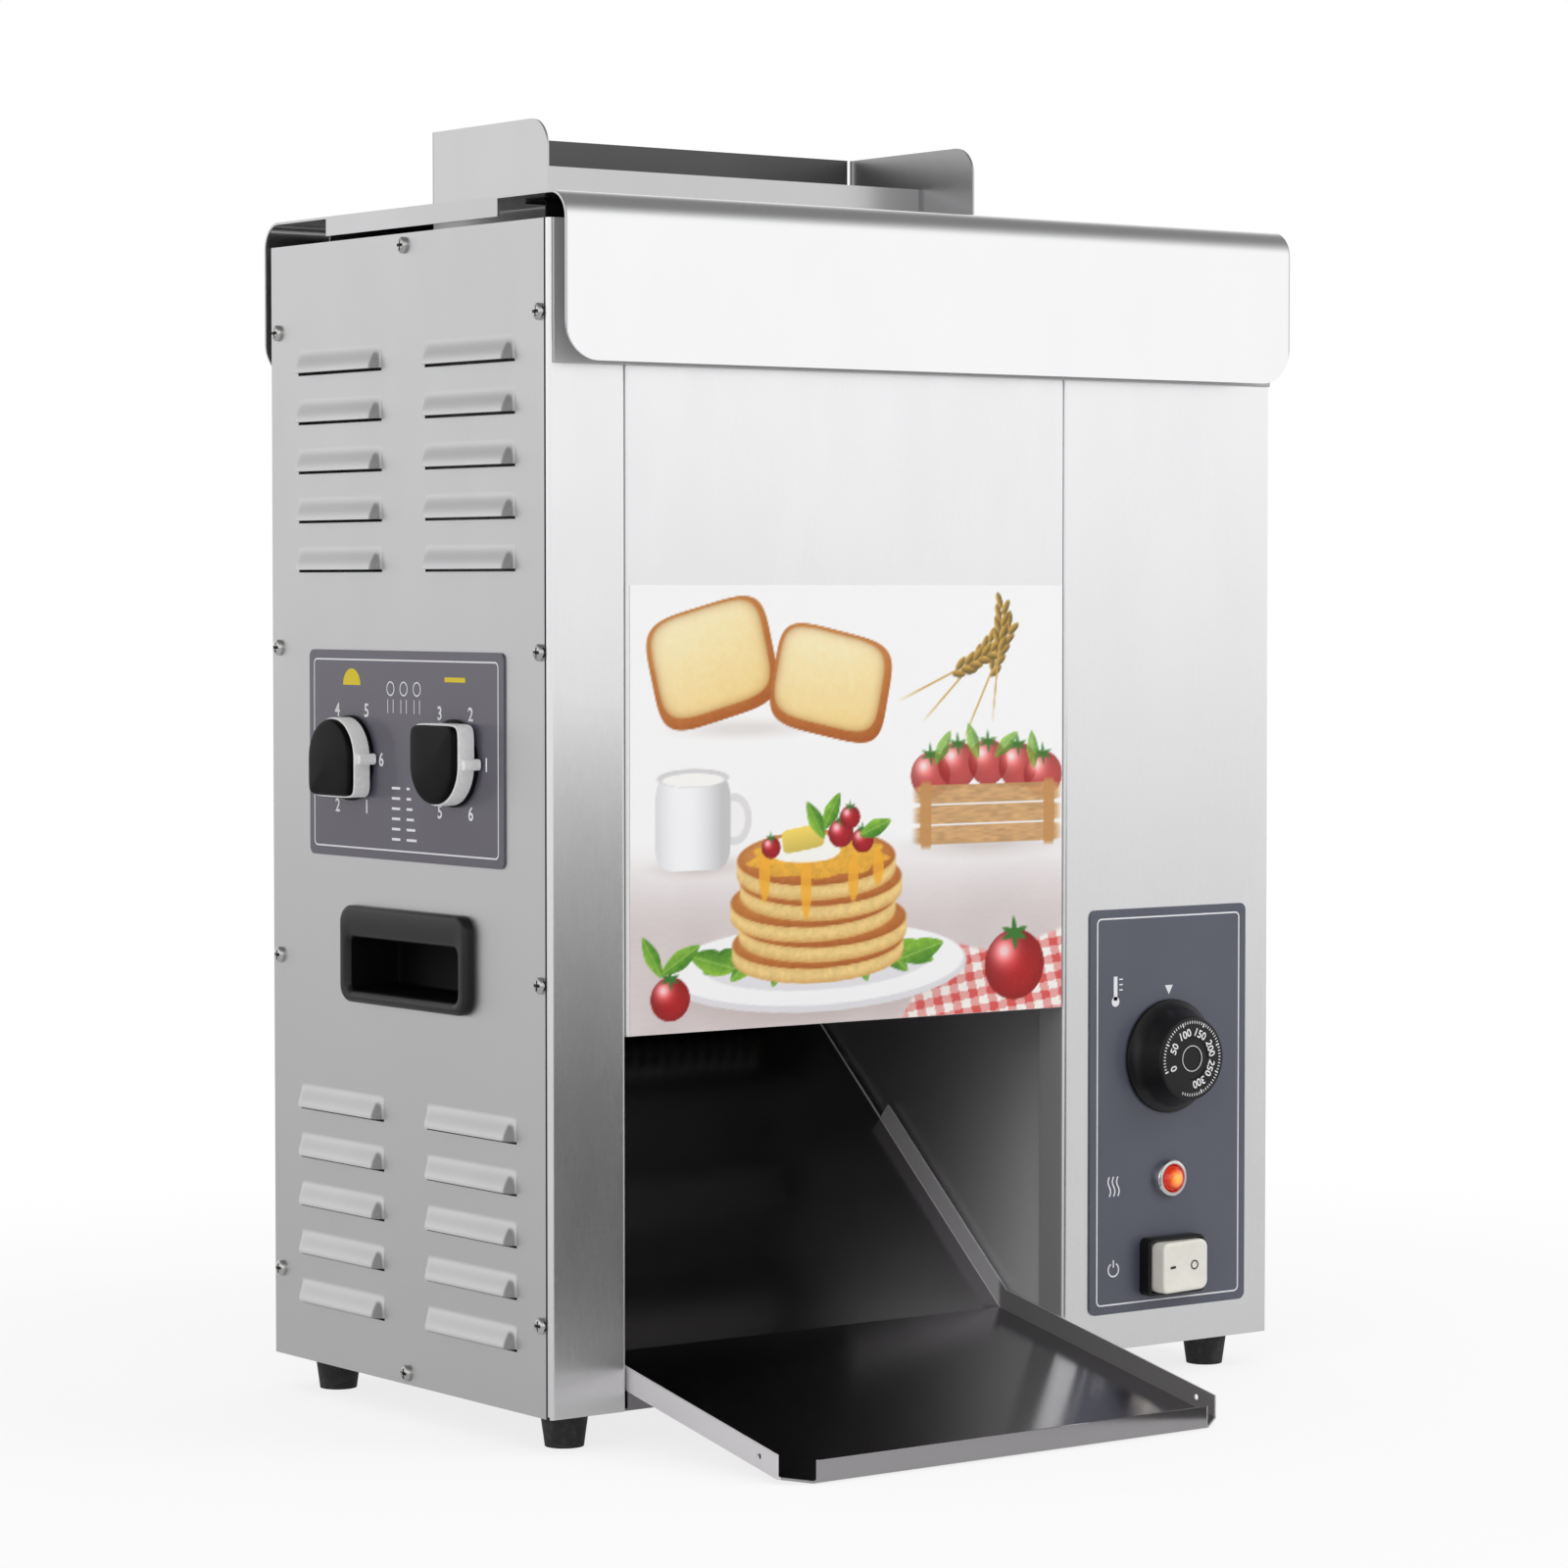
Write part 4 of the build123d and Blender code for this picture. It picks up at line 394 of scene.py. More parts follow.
def moulded_plastic(name, colour, lighter, roughness, coat=0.0, gloss=0.5):
    """Moulded plastic: fine spark-eroded grain, faint handling wear. Gloss is the strength of its shine."""
    f = Finish(name)
    grain = f.noise(2600.0, 2.0)
    wear = f.noise(38.0, 4.0, 0.65)
    f.surface(
        Base_Color=f.mix(wear.above(0.62, 0.3) * 0.6, colour, lighter),
        Roughness=grain.swing(0.12) + wear.swing(0.22) + roughness,
        Coat_Weight=coat, Coat_Roughness=0.12, Specular_IOR_Level=gloss)
    f.bump(grain, 0.00004, 0.35)
    return f.material


def black_plastic(name, dark, light, roughness, gloss):
    """The panel's black plastic, between two factors of its colour."""
    return moulded_plastic(name, shade("plastic", dark), shade("plastic", light), roughness, 0.0, gloss)


def machined_steel(name, colour, dark, roughness, metallic=1.0):
    """Turned or cast metal with an even fine texture and dull patches."""
    f = Finish(name)
    patch = f.noise(90.0, 4.0, 0.6)
    fine = f.noise(1500.0, 2.0)
    f.surface(
        Base_Color=f.mix(patch, dark, colour), Metallic=metallic,
        Roughness=patch.swing(0.25) + fine.swing(0.1) + roughness)
    f.bump(fine, 0.00005, 0.4)
    return f.material


def rubber():
    """Dull black rubber with dust in its pores."""
    f = Finish("foot_rubber")
    dust = f.noise(120.0, 5.0, 0.7)
    f.surface(
        Base_Color=f.mix(dust.above(0.56, 0.25), (0.012, 0.012, 0.013), (0.05, 0.048, 0.045)),
        Roughness=dust.swing(0.2) + 0.62)
    f.bump(f.noise(1800.0, 2.0), 0.0001, 0.5)
    return f.material


def slate_paint():
    """Plate lacquer over metal: deep bluish slate, softly uneven and glossy, and more violet at the side."""
    f = Finish("slate_paint")
    cloud = f.noise(18.0, 3.0)
    slate = f.mix(cloud.swing(0.8) + 0.5, shade("plate", 0.82), shade("plate", 1.16))
    at_side = 1 - f.axes()[0].above(BODY_LEFT + 0.01, 0.002)
    f.surface(
        Base_Color=f.mix(at_side * 0.5, slate, shade("plate_warm")), Roughness=cloud.swing(0.12) + 0.34,
        Coat_Weight=0.35, Coat_Roughness=0.16)
    f.bump(f.noise(700.0, 1.0), 0.00003, 0.25)
    return f.material


def ink(name, colour):
    """Screen print: flat colour with slightly uneven cover."""
    f = Finish(name)
    cover = f.noise(900.0, 2.0)
    darker = tuple(v * 0.86 for v in colour)
    f.surface(Base_Color=f.mix(cover, darker, colour), Roughness=cover.swing(0.1) + 0.5)
    return f.material


def lamp_glow():
    """Red amber lens: lit from inside, brightest at its heart, with darker facets towards the rim."""
    f = Finish("lamp_lens")
    middle = FRONT.at((*FRONT.spot("lamp_lens").middle, 0))
    x, z = f.axes()[::2]
    x, z = x - middle[0], z - middle[2]
    heart = 1 - ((x * x + z * z) ** 0.5).above(0.0035, 0.005)
    facets = f.node("TexVoronoi", {"Vector": f.place((1, 1, 1)), "Scale": 420.0}, feature="F1")
    flicker = facets.above(0.35, 0.3)
    f.surface(
        Base_Color=f.mix(heart, shade("lens", 0.75), (1.0, 0.3, 0.05)), Roughness=0.08,
        Coat_Weight=0.6, Coat_Roughness=0.04, Emission_Strength=0.75,
        Emission_Color=f.mix(heart * (0.5 + flicker * 0.5), (0.35, 0.015, 0.0), (1.0, 0.32, 0.05)))
    return f.material


class Shape:
    """Surfaces gathered into one mesh, each with its own material number."""

    def __init__(self):
        self.points = []
        self.faces = []
        self.kinds = []
        self.count = 0

    def add(self, points, faces, kind=0):
        """Points and the faces between them, numbered on from the points that are there."""
        self.points.append(points.reshape(-1, 3))
        self.faces += faces
        self.kinds += [kind] * len(faces)
        self.count += len(self.points[-1])

    def grid(self, points, wrap=False, kind=0, keep=None):
        """Quads over points (rows, columns, 3). Wrapping joins the last column to the first; keep is a
        mask of the cells that stay."""
        rows, columns = points.shape[:2]
        r = np.arange(rows - 1)[:, None] * columns + self.count
        c = np.arange(columns if wrap else columns - 1)[None, :]
        after = (c + 1) % columns
        corners = np.broadcast_arrays(r + c, r + after, r + columns + after, r + columns + c)
        faces = np.stack(corners, axis=-1).reshape(-1, 4)
        if keep is not None:
            faces = faces[keep.reshape(-1)]
        self.add(points, faces.tolist(), kind)

    def fill(self, outline, kind):
        """One flat face inside a closed outline of points (n, 3)."""
        self.add(outline, [range(self.count, self.count + len(outline))], kind)

    def rings(self, points, kind=0, start=True, end=True):
        """Closed rings of points (rings, n, 3), with a flat face on the first and the last one."""
        self.grid(points, wrap=True, kind=kind)
        if start:
            self.fill(points[0][::-1], kind)
        if end:
            self.fill(points[-1], kind)

    def mould(self, wall, outline, profile, middle, kind=0, start=True, end=True):
        """A moulding that stands on a wall."""
        self.rings(wall.at(moulding(outline, profile, middle)), kind, start, end)

    def turn_over(self):
        self.faces = [face[::-1] for face in self.faces]

    def build(self, name, materials, body, smooth=35.0, mend=True):
        """The finished object, riding on a CAD body."""
        mesh = bpy.data.meshes.new(name)
        mesh.from_pydata(np.concatenate(self.points).tolist(), [], self.faces)
        mesh.polygons.foreach_set("material_index", np.array(self.kinds, np.int32))
        for material in materials:
            mesh.materials.append(material)
        if mend:
            work = bmesh.new()
            work.from_mesh(mesh)
            bmesh.ops.remove_doubles(work, verts=work.verts, dist=0.000002)
            bmesh.ops.recalc_face_normals(work, faces=work.faces)
            work.to_mesh(mesh)
            work.free()
        mesh.polygons.foreach_set("use_smooth", np.ones(len(mesh.polygons), bool))
        mesh.set_sharp_from_angle(angle=math.radians(smooth))
        mesh.update()
        piece = bpy.data.objects.new(name, mesh)
        bpy.context.scene.collection.objects.link(piece)
        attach(piece, body)
        return piece

    def stand_in(self, name, node, slot, body="frame", smooth=35.0, more=(), mend=True):
        """The finished object in place of a CAD node, whose finish it takes over, with more after it."""
        piece = self.build(name, [NODES[node].data.materials[0], *more], body, smooth, mend)
        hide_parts(node)
        return piece


# Where a node is on a wall, as Wall.spot gives it
Spot = namedtuple("Spot", "middle size low high")


class Wall:
    """A flat side of the body: where it starts, and its own directions across, up and out."""

    def __init__(self, origin, across, out):
        self.origin = np.array(origin, float)
        self.axes = np.array((across, (0, 0, 1), out), float)
        self.mirrored = np.linalg.det(self.axes) < 0

    def at(self, points):
        """Row-frame places of points given as across, up and out."""
        return self.origin + np.asarray(points, float) @ self.axes

    def spot(self, node):
        """Where a node is: its middle and size across and up, and its least and greatest distance out."""
        corners = np.array([tuple(corner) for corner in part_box(node)])
        ends = (corners - self.origin) @ self.axes.T
        size = np.abs((corners[1] - corners[0]) @ self.axes.T)
        return Spot((ends[0] + ends[1])[:2] / 2, size[:2], ends[:, 2].min(), ends[:, 2].max())


LEFT = Wall((BODY_LEFT, BODY_FRONT, BODY_FOOT), (0, 1, 0), (-1, 0, 0))
RIGHT = Wall((BODY_RIGHT, BODY_FRONT, BODY_FOOT), (0, 1, 0), (1, 0, 0))
FRONT = Wall((BODY_LEFT, BODY_FRONT, BODY_FOOT), (1, 0, 0), (0, -1, 0))
SIDES = (("left", LEFT), ("right", RIGHT))


def step(value):
    """Smooth rise from 0 to 1 with level ends: 3 t squared minus 2 t cubed."""
    t = np.clip(value, 0, 1)
    return t * t * (3 - 2 * t)


def ray(angle):
    """Directions at angles in radians."""
    return np.stack((np.cos(angle), np.sin(angle)), axis=-1)


def at_height(points, height):
    """Flat points (..., 2), lifted to one height."""
    points = np.asarray(points, float)
    return np.concatenate((points, np.full(points.shape[:-1] + (1,), height)), axis=-1)


def around(count):
    """Angles once round, in radians."""
    return np.linspace(0, 2 * np.pi, count, endpoint=False)


def circle(radius, count):
    """Outline of a circle, with its outward directions."""
    out = ray(around(count))
    return out * radius, out


def rounded_box(width, height, radius, count):
    """Outline of a rectangle with round corners, with its outward directions.

    Each corner is a quarter circle of count points about a centre that lies radius inside both sides.
    """
    turns = np.array([0, 1, 2, 3])[:, None] * np.pi / 2
    out = ray(np.linspace(0, np.pi / 2, count) + turns)
    middles = np.array(((1, 1), (-1, 1), (-1, -1), (1, -1))) * (width / 2 - radius, height / 2 - radius)
    return (middles[:, None, :] + out * radius).reshape(-1, 2), out.reshape(-1, 2)


def moulding(outline, profile, middle):
    """Rings of a moulding: for each (inset, height) of the profile the outline shrinks by the inset."""
    points, out = outline
    profile = np.asarray(profile, float)
    flat = points[None] - out[None] * profile[:, 0][:, None, None] + np.asarray(middle)
    height = np.broadcast_to(profile[:, 1][:, None, None], flat.shape[:2] + (1,))
    return np.concatenate((flat, height), axis=-1)


def rounded(inset, low, high, radius, count=5):
    """Profile of an edge: straight up from low, then a quarter circle of the radius inwards at high."""
    angle = np.linspace(0, np.pi / 2, count)
    quarter = (inset + radius * (1 - np.cos(angle)), high - radius * (1 - np.sin(angle)))
    return [(inset, low), *np.stack(quarter, axis=-1).tolist()]


def dome(ring, middle, rise):
    """Rings that close a ring towards its middle: its points come in along a straight line while
    the height grows by the rise times 1 minus the square of what is left of the way."""
    left = np.array((0.86, 0.7, 0.52, 0.34, 0.16, 0.04))[:, None, None]
    flat = np.asarray(middle) + (ring[None, :, :2] - np.asarray(middle)) * left
    height = ring[None, :, 2:] + rise * (1 - left ** 2)
    return np.concatenate((flat, height), axis=-1)


def ribbon(points, width):
    """Both edges of a flat line of even width along points (n, 2): each point moves along its normal."""
    points = np.asarray(points, float)
    along = np.gradient(points, axis=0)
    along /= np.linalg.norm(along, axis=1)[:, None]
    normal = np.stack((-along[:, 1], along[:, 0]), axis=-1) * width / 2
    return np.stack((points - normal, points + normal), axis=0)


def arc(radius, start, end, count, middle=(0, 0)):
    """Points on part of a circle, with its angles in degrees."""
    return ray(np.radians(np.linspace(start, end, count))) * radius + np.asarray(middle)


class Print:
    """Flat marks on a wall, a hair above the surface that carries them."""

    def __init__(self, wall, level):
        self.wall = wall
        self.level = level + PRINT_GAP
        self.shape = Shape()

    def lift(self, points):
        return self.wall.at(at_height(points, self.level))

    def line(self, points, width, middle):
        """A line of even width, along points about a middle."""
        self.shape.grid(self.lift(ribbon(np.array(points) + middle, width)))

    def patch(self, outline, kind=0):
        self.shape.fill(self.lift(outline), kind)

    def band(self, inner, outer):
        """The space between two closed outlines with as many points each."""
        self.shape.grid(self.lift(np.stack((inner, outer))), wrap=True)

    def figure(self, words, height, middle, turn=0.0, mirror=1):
        """A plain figure in the built-in type made a little bolder, centred on middle and turned by an
        angle in degrees."""
        curve = bpy.data.curves.new("figure", "FONT")
        curve.body = words
        curve.align_x = "CENTER"
        curve.align_y = "CENTER"
        curve.resolution_u = 3
        curve.offset = 0.018
        holder = bpy.data.objects.new("figure", curve)
        mesh = bpy.data.meshes.new_from_object(holder)
        points = np.zeros(len(mesh.vertices) * 3)
        mesh.vertices.foreach_get("co", points)
        points = points.reshape(-1, 3)[:, :2]
        points = (points - (points.min(0) + points.max(0)) / 2) * height / FIGURE_TALL
        cos, sin = ray(math.radians(turn))
        points = points @ np.array(((cos, sin), (-sin, cos))) * (mirror, 1) + np.asarray(middle)
        corners = np.zeros(len(mesh.loops), np.int32)
        mesh.loops.foreach_get("vertex_index", corners)
        triangles = corners.reshape(-1, 3)[:, ::mirror] + self.shape.count
        self.shape.add(self.lift(points), triangles.tolist())
        bpy.data.objects.remove(holder)
        bpy.data.curves.remove(curve)
        bpy.data.meshes.remove(mesh)

    def build(self, name, materials, body, slot):
        if self.wall.mirrored:
            self.shape.turn_over()
        self.shape.build(name, materials, body, mend=False)


def paint(names, material):
    """Gives CAD nodes one finish."""
    for name in names.split():
        mesh = NODES[name].data
        mesh.materials.clear()
        mesh.materials.append(material)


class TOASTER_OT_finishes(Operator):
    """Puts a finish on every CAD node"""

    bl_idname = "toaster.finishes"
    bl_label = "CAD finishes"

    def execute(self, context):
        self.steels()
        self.metals()
        self.plastics()
        paint("landing_tray", tray_steel())
        paint("left_control_plate front_control_plate", slate_paint())
        paint("graphic_sheet", ink("printed_white", (0.9, 0.9, 0.89)))
        paint("lamp_lens", lamp_glow())
        paint("feet", rubber())
        paint("heel_belt crown_belt", wire_belt())
        return {"FINISHED"}

    def steels(self):
        # gap is the near-black of painted shade: in the side panels' front joint and in the hood's open end
        satin, inner, gap = (1.0, 0.9), (0.8, 0.6), grey(0.012)
        # The front steel takes painted light on the flanges beside the opening
        paint("left_front_column right_front_column front_panel", brushed_steel(
            "front_steel", "front_steel", satin, 0.27, UPRIGHT,
            patch=opening_jambs, change=(shade("front_steel", 0.5), 0.3, 0.1)))
        # The header strip behind the hood's flange is a darker, less metallic copy of the front steel:
        # painted shade
        paint("front_header", brushed_steel(
            "header_steel", "front_steel", (0.58, 0.48), 0.38, UPRIGHT, metallic=0.3))
        # The side panels take the darker side steel as painted shade, and more painted shade at the front
        # joint and the louvres' front ends
        paint("left_side_panel right_side_panel", brushed_steel(
            "side_steel", "side_steel", satin, 0.4, FORE_AND_AFT, patch=front_seam, change=(gap, 0.0, 0.3)))
        # The back panel takes the side steel's painted shade too
        paint("back_panel", brushed_steel("back_steel", "side_steel", satin, 0.42, LEVEL))
        # The hood takes painted shade on its end edges
        paint("hood", brushed_steel(
            "hood_steel", "front_steel", satin, 0.19, LEVEL,
            patch=hood_ends, change=(shade("side_steel", 0.95), 1.0, 0.2)))
        # The feeder is a darker copy of the front steel, as painted shade, and its inner faces take more
        # painted shade
        paint("bun_feeder", brushed_steel(
            "feeder_steel", "front_steel", (0.7, 0.58), 0.3, LEVEL,
            patch=feeder_inside, change=(shade("front_steel", 0.13), 1.0, 0.12)))
        # The opening's side walls take painted light low and near the front
        paint("left_bulkhead right_bulkhead", brushed_steel(
            "wall_steel", "inner_steel", (1.1, 0.8), 0.34, UPRIGHT, 1.5, 0.8,
            patch=wall_light, change=(shade("front_steel", 0.95), 0.3, 0.1)))
        # The deck and rails take painted shade at their front
        paint("top_deck hood_rails", brushed_steel(
            "deck_steel", "inner_steel", inner, 0.3, LEVEL, 1.5, 0.95,
            patch=hood_gap, change=(gap, 0.2, 0.3)))
        paint("base_pan motor_bracket heel_pressure_plate crown_pressure_plate chute_rod", brushed_steel(
            "inner_steel", "inner_steel", inner, 0.3, UPRIGHT, 1.5, 0.95))

    def metals(self):
        gears = ("heel_drive_gear crown_drive_gear front_idler_gear rear_idler_gear motor_pinion "
                 "motor_shaft idler_pins heel_cam crown_cam heel_drive_shaft crown_drive_shaft "
                 "heel_idler_shaft crown_idler_shaft")
        screws = "left_panel_screws right_panel_screws foot_nuts platen_bolts"
        for nodes, name, colour, dark, roughness in (
                ("lamp_bezel", "chrome", (0.82, 0.82, 0.83), (0.7, 0.7, 0.71), 0.09),
                (screws, "zinc_screw", (0.72, 0.72, 0.71), (0.42, 0.42, 0.41), 0.16),
                ("platen", "cast_aluminium", (0.6, 0.6, 0.61), (0.36, 0.35, 0.34), 0.45),
                ("heating_elements", "element", (0.12, 0.1, 0.09), (0.05, 0.04, 0.04), 0.5),
                ("shaft_bushes", "bronze", (0.5, 0.33, 0.14), (0.36, 0.22, 0.09), 0.38),
                (gears, "gear_steel", (0.38, 0.38, 0.39), (0.22, 0.22, 0.22), 0.3)):
            paint(nodes, machined_steel(name, colour, dark, roughness))

    def plastics(self):
        paint("left_carry_handle right_carry_handle thermostat_dial switch_housing cord_gland",
              black_plastic("black_plastic", 0.8, 1.8, 0.34, 0.4))
        paint("heel_knob crown_knob", black_plastic("knob_plastic", 0.4, 0.9, 0.2, 0.08))
        paint("switch_rocker", moulded_plastic(
            "cream_plastic", shade("rocker"), shade("rocker", 1.08), 0.28, 0.4))
        paint("gear_motor", moulded_plastic(
            "motor_paint", (0.014, 0.016, 0.018), (0.04, 0.042, 0.045), 0.42))
        paint("terminal_block thermostat_body", moulded_plastic(
            "terminal_plastic", (0.55, 0.52, 0.42), (0.66, 0.63, 0.53), 0.5))


def louvre_panel(wall):
    """A side panel as one height field over the wall, pressed out in rows of louvres.

    Its height is the louvres' depth times a rise up the panel and one along it. Up a louvre the rise is a
    smooth step from its top to its open edge, and along it a quarter circle at both ends. The cells of
    the slot under each open edge are left out, and so is the hole behind the carry handle.
    """
    s = sizes()
    crease, lap = 0.0004, 0.004
    slit, tall = s.louvre_slot, s.louvre_height
    long, lefts = louvre_columns()
    bottoms = [low + row * s.louvre_pitch
               for low in (s.lower_louvres, s.upper_louvres) for row in range(s.louvre_rows)]
    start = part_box("left_side_panel")[0].y - BODY_FRONT
    handle = wall.spot("left_carry_handle")
    hole = np.array((handle.middle - handle.size / 2 + lap, handle.middle + handle.size / 2 - lap))
    ends = np.concatenate(((-crease,), (1 - np.cos(np.linspace(0, np.pi, 12))) / 2 * s.louvre_slope))
    rise = np.concatenate(((-crease, 0), slit + np.linspace(0, 1, 15) * (tall - slit), (tall + crease,)))
    a = np.unique(np.concatenate([(start, DEPTH), hole[:, 0]] + [
        np.concatenate((left + ends, left + long - ends)) for left in lefts]))
    b = np.unique(np.concatenate([(0, TALL), hole[:, 1]] + [bottom + rise for bottom in bottoms]))
    along, up = np.zeros(len(a)), np.zeros(len(b))
    within, slot = np.zeros(len(a) - 1, bool), np.zeros(len(b) - 1, bool)
    for left in lefts:
        run = np.clip(np.minimum(a - left, left + long - a) / s.louvre_slope, 0, 1)
        along += np.sqrt(1 - (1 - run) ** 2)
        within |= (a[:-1] >= left) & (a[1:] <= left + long)
    for bottom in bottoms:
        inside = (b > bottom + slit / 2) & (b < bottom + tall)
        up += inside * step((bottom + tall - b) / (tall - slit))
        slot |= (b[:-1] >= bottom - slit / 2) & (b[1:] <= bottom + slit * 1.01)
    cells = [(v[:-1] + v[1:]) / 2 for v in (a, b)]
    in_hole = [(v > low) & (v < high) for v, low, high in zip(cells, *hole)]
    gone = np.outer(slot, within) | np.outer(in_hole[1], in_hole[0])
    height = s.louvre_depth * up[:, None] * along
    shape = Shape()
    shape.grid(wall.at(np.stack((*np.meshgrid(a, b), height), axis=-1)), keep=~gone)
    if wall.mirrored:
        shape.turn_over()
    return shape


class TOASTER_OT_side_panels(Operator):
    """Makes the side panels with their pressed louvres"""

    bl_idname = "toaster.side_panels"
    bl_label = "Side panels"

    def execute(self, context):
        for name, wall in SIDES:
            piece = louvre_panel(wall).stand_in(
                name + "_pressed_panel", name + "_side_panel", "satin_steel", smooth=50, mend=False)
            # Open edges are marked sharp, so that the sheet's own thickness doesn't bend its shading
            mesh = piece.data
            sides = np.zeros(len(mesh.loops), np.int32)
            mesh.loops.foreach_get("edge_index", sides)
            sharp = np.zeros(len(mesh.edges), bool)
            mesh.edges.foreach_get("use_edge_sharp", sharp)
            sharp |= np.bincount(sides, minlength=len(sharp)) == 1
            mesh.edges.foreach_set("use_edge_sharp", sharp)
            thick = piece.modifiers.new("sheet", "SOLIDIFY")
            thick.thickness = sizes().sheet
            thick.offset = -1.0
        return {"FINISHED"}


def pan_head(shape, wall, middle, spin):
    """A pan head: a low dome on a short rim, with a cross recess pressed into it.

    The dome's height falls with the fourth power of the distance from the axis. The recess is a dip that
    depends on the distance from the nearer of two crossed lines.
    """
    radius, height = sizes().screw_radius, sizes().screw_height
    fall, deep, arm_wide, arm_soft, arm_long, end_soft = 0.55, 0.55, 0.17, 0.09, 0.62, 0.12
    shares = np.concatenate((np.linspace(0.0, 0.72, 10), np.linspace(0.78, 1.0, 7)))
    r, t = np.meshgrid(shares, around(40), indexing="ij")
    x, y = r * np.cos(t + spin), r * np.sin(t + spin)
    near = np.minimum(np.abs(x), np.abs(y))
    cross = step((arm_wide - near) / arm_soft) * step((arm_long - r) / end_soft)
    top = height * (1 - fall * r ** 4) - cross * height * deep
    flat = np.stack((x * radius + middle[0], y * radius + middle[1], top), axis=-1)
    skirt = flat[-1:].copy()
    skirt[..., 2] = -0.0001
    hollow = np.concatenate((cross[:-1] > 0.45, np.zeros((1, cross.shape[1]), bool)))
    head = wall.at(np.concatenate((flat, skirt)))
    shape.grid(head, wrap=True, keep=~hollow)
    # The cross recess takes the second material, a darker steel: painted shade
    shape.grid(head, wrap=True, kind=1, keep=hollow)


def screw_places():
    """Across and up of the screws in a side panel: two columns and one at the middle, top and foot."""
    heights = (0.0456, 0.212, 0.374, 0.539)
    front, back, end = 0.008, 0.007, 0.006
    places = [(across, up) for across in (front, DEPTH - back) for up in heights]
    return places + [(DEPTH / 2, TALL - end), (DEPTH / 2, end)]


class TOASTER_OT_screws(Operator):
    """Makes the pan-head screws of both side panels"""

    bl_idname = "toaster.screws"
    bl_label = "Panel screws"

    def execute(self, context):
        # The cross recesses take a darker steel: painted shade in the hollows
        recess = machined_steel("screw_recess", grey(0.16), grey(0.05), 0.4)
        places = screw_places()
        for name, wall in SIDES:
            shape = Shape()
            spins = np.random.default_rng(7).uniform(0, np.pi / 2, len(places))
            for spin, place in zip(spins, places):
                pan_head(shape, wall, place, spin)
            shape.stand_in(name + "_pan_heads", name + "_panel_screws", "zinc_screws", more=[recess])
        return {"FINISHED"}


class TOASTER_OT_handles(Operator):
    """Makes the carry handles let into both sides"""

    bl_idname = "toaster.handles"
    bl_label = "Carry handles"

    def execute(self, context):
        s = sizes()
        edge, mouth_corner = 0.0026, 0.004
        # The well is a darker, duller copy of the black plastic: painted shade in the hand hold's recess
        dull = black_plastic("well_plastic", 0.4, 1.2, 0.45, 0.1)
        for name, wall in SIDES:
            middle, (width, height), low, high = wall.spot(name + "_carry_handle")
            mouth = rounded_box(
                width - 2 * s.handle_rim, height - s.handle_bar - s.handle_sill, mouth_corner, 9)
            soft = [(-0.003, high), (-0.0024, high - 0.0002), (-0.0012, high - 0.0008),
                    (-0.0004, high - 0.0018), (0.0, high - 0.003)]
            section = soft + [(0.0004, low + 0.004), (0.0016, low + 0.0012), (0.004, low)]
            rim = moulding(
                rounded_box(width, height, s.handle_corner, 9), rounded(0.0, 0.0, high, edge, 6), middle)
            well = moulding(mouth, section, middle + (0, (s.handle_sill - s.handle_bar) / 2))
            lip = len(soft)
            shape = Shape()
            shape.grid(wall.at(np.concatenate((rim, well[:lip]))), wrap=True)
            shape.rings(wall.at(well[lip - 1:]), kind=1, start=False)
            shape.stand_in(
                name + "_hand_hold", name + "_carry_handle", "black_plastic", smooth=30, more=[dull])
        return {"FINISHED"}


def grip_outline(radius, flat_way, count):
    """Outline of a knob's grip: half a circle, and half a squared oval on the side of its flat.

    On the squared side the distance from the axis is the radius divided by the eighth root of
    the cosine to the eighth plus the sine over 0.95 to the eighth.
    """
    out = ray(around(count))
    squared = (out[:, 0] ** 8 + (out[:, 1] / 0.95) ** 8) ** (-1 / 8)
    points = out * (radius * np.where(out[:, 1] * flat_way > 0, squared, 1.0))[:, None]
    along = np.roll(points, -1, axis=0) - np.roll(points, 1, axis=0)
    normal = np.stack((along[:, 1], -along[:, 0]), axis=-1)
    return points, normal / np.linalg.norm(normal, axis=1)[:, None]


def knob_axis(node):
    """Where a knob's axis meets the left side, across and up."""
    joint = next(j for j in frame["joints"] if j["name"] == node + "_turn")
    return np.array((joint["pos_m"][1] - BODY_FRONT, joint["pos_m"][2] - BODY_FOOT))


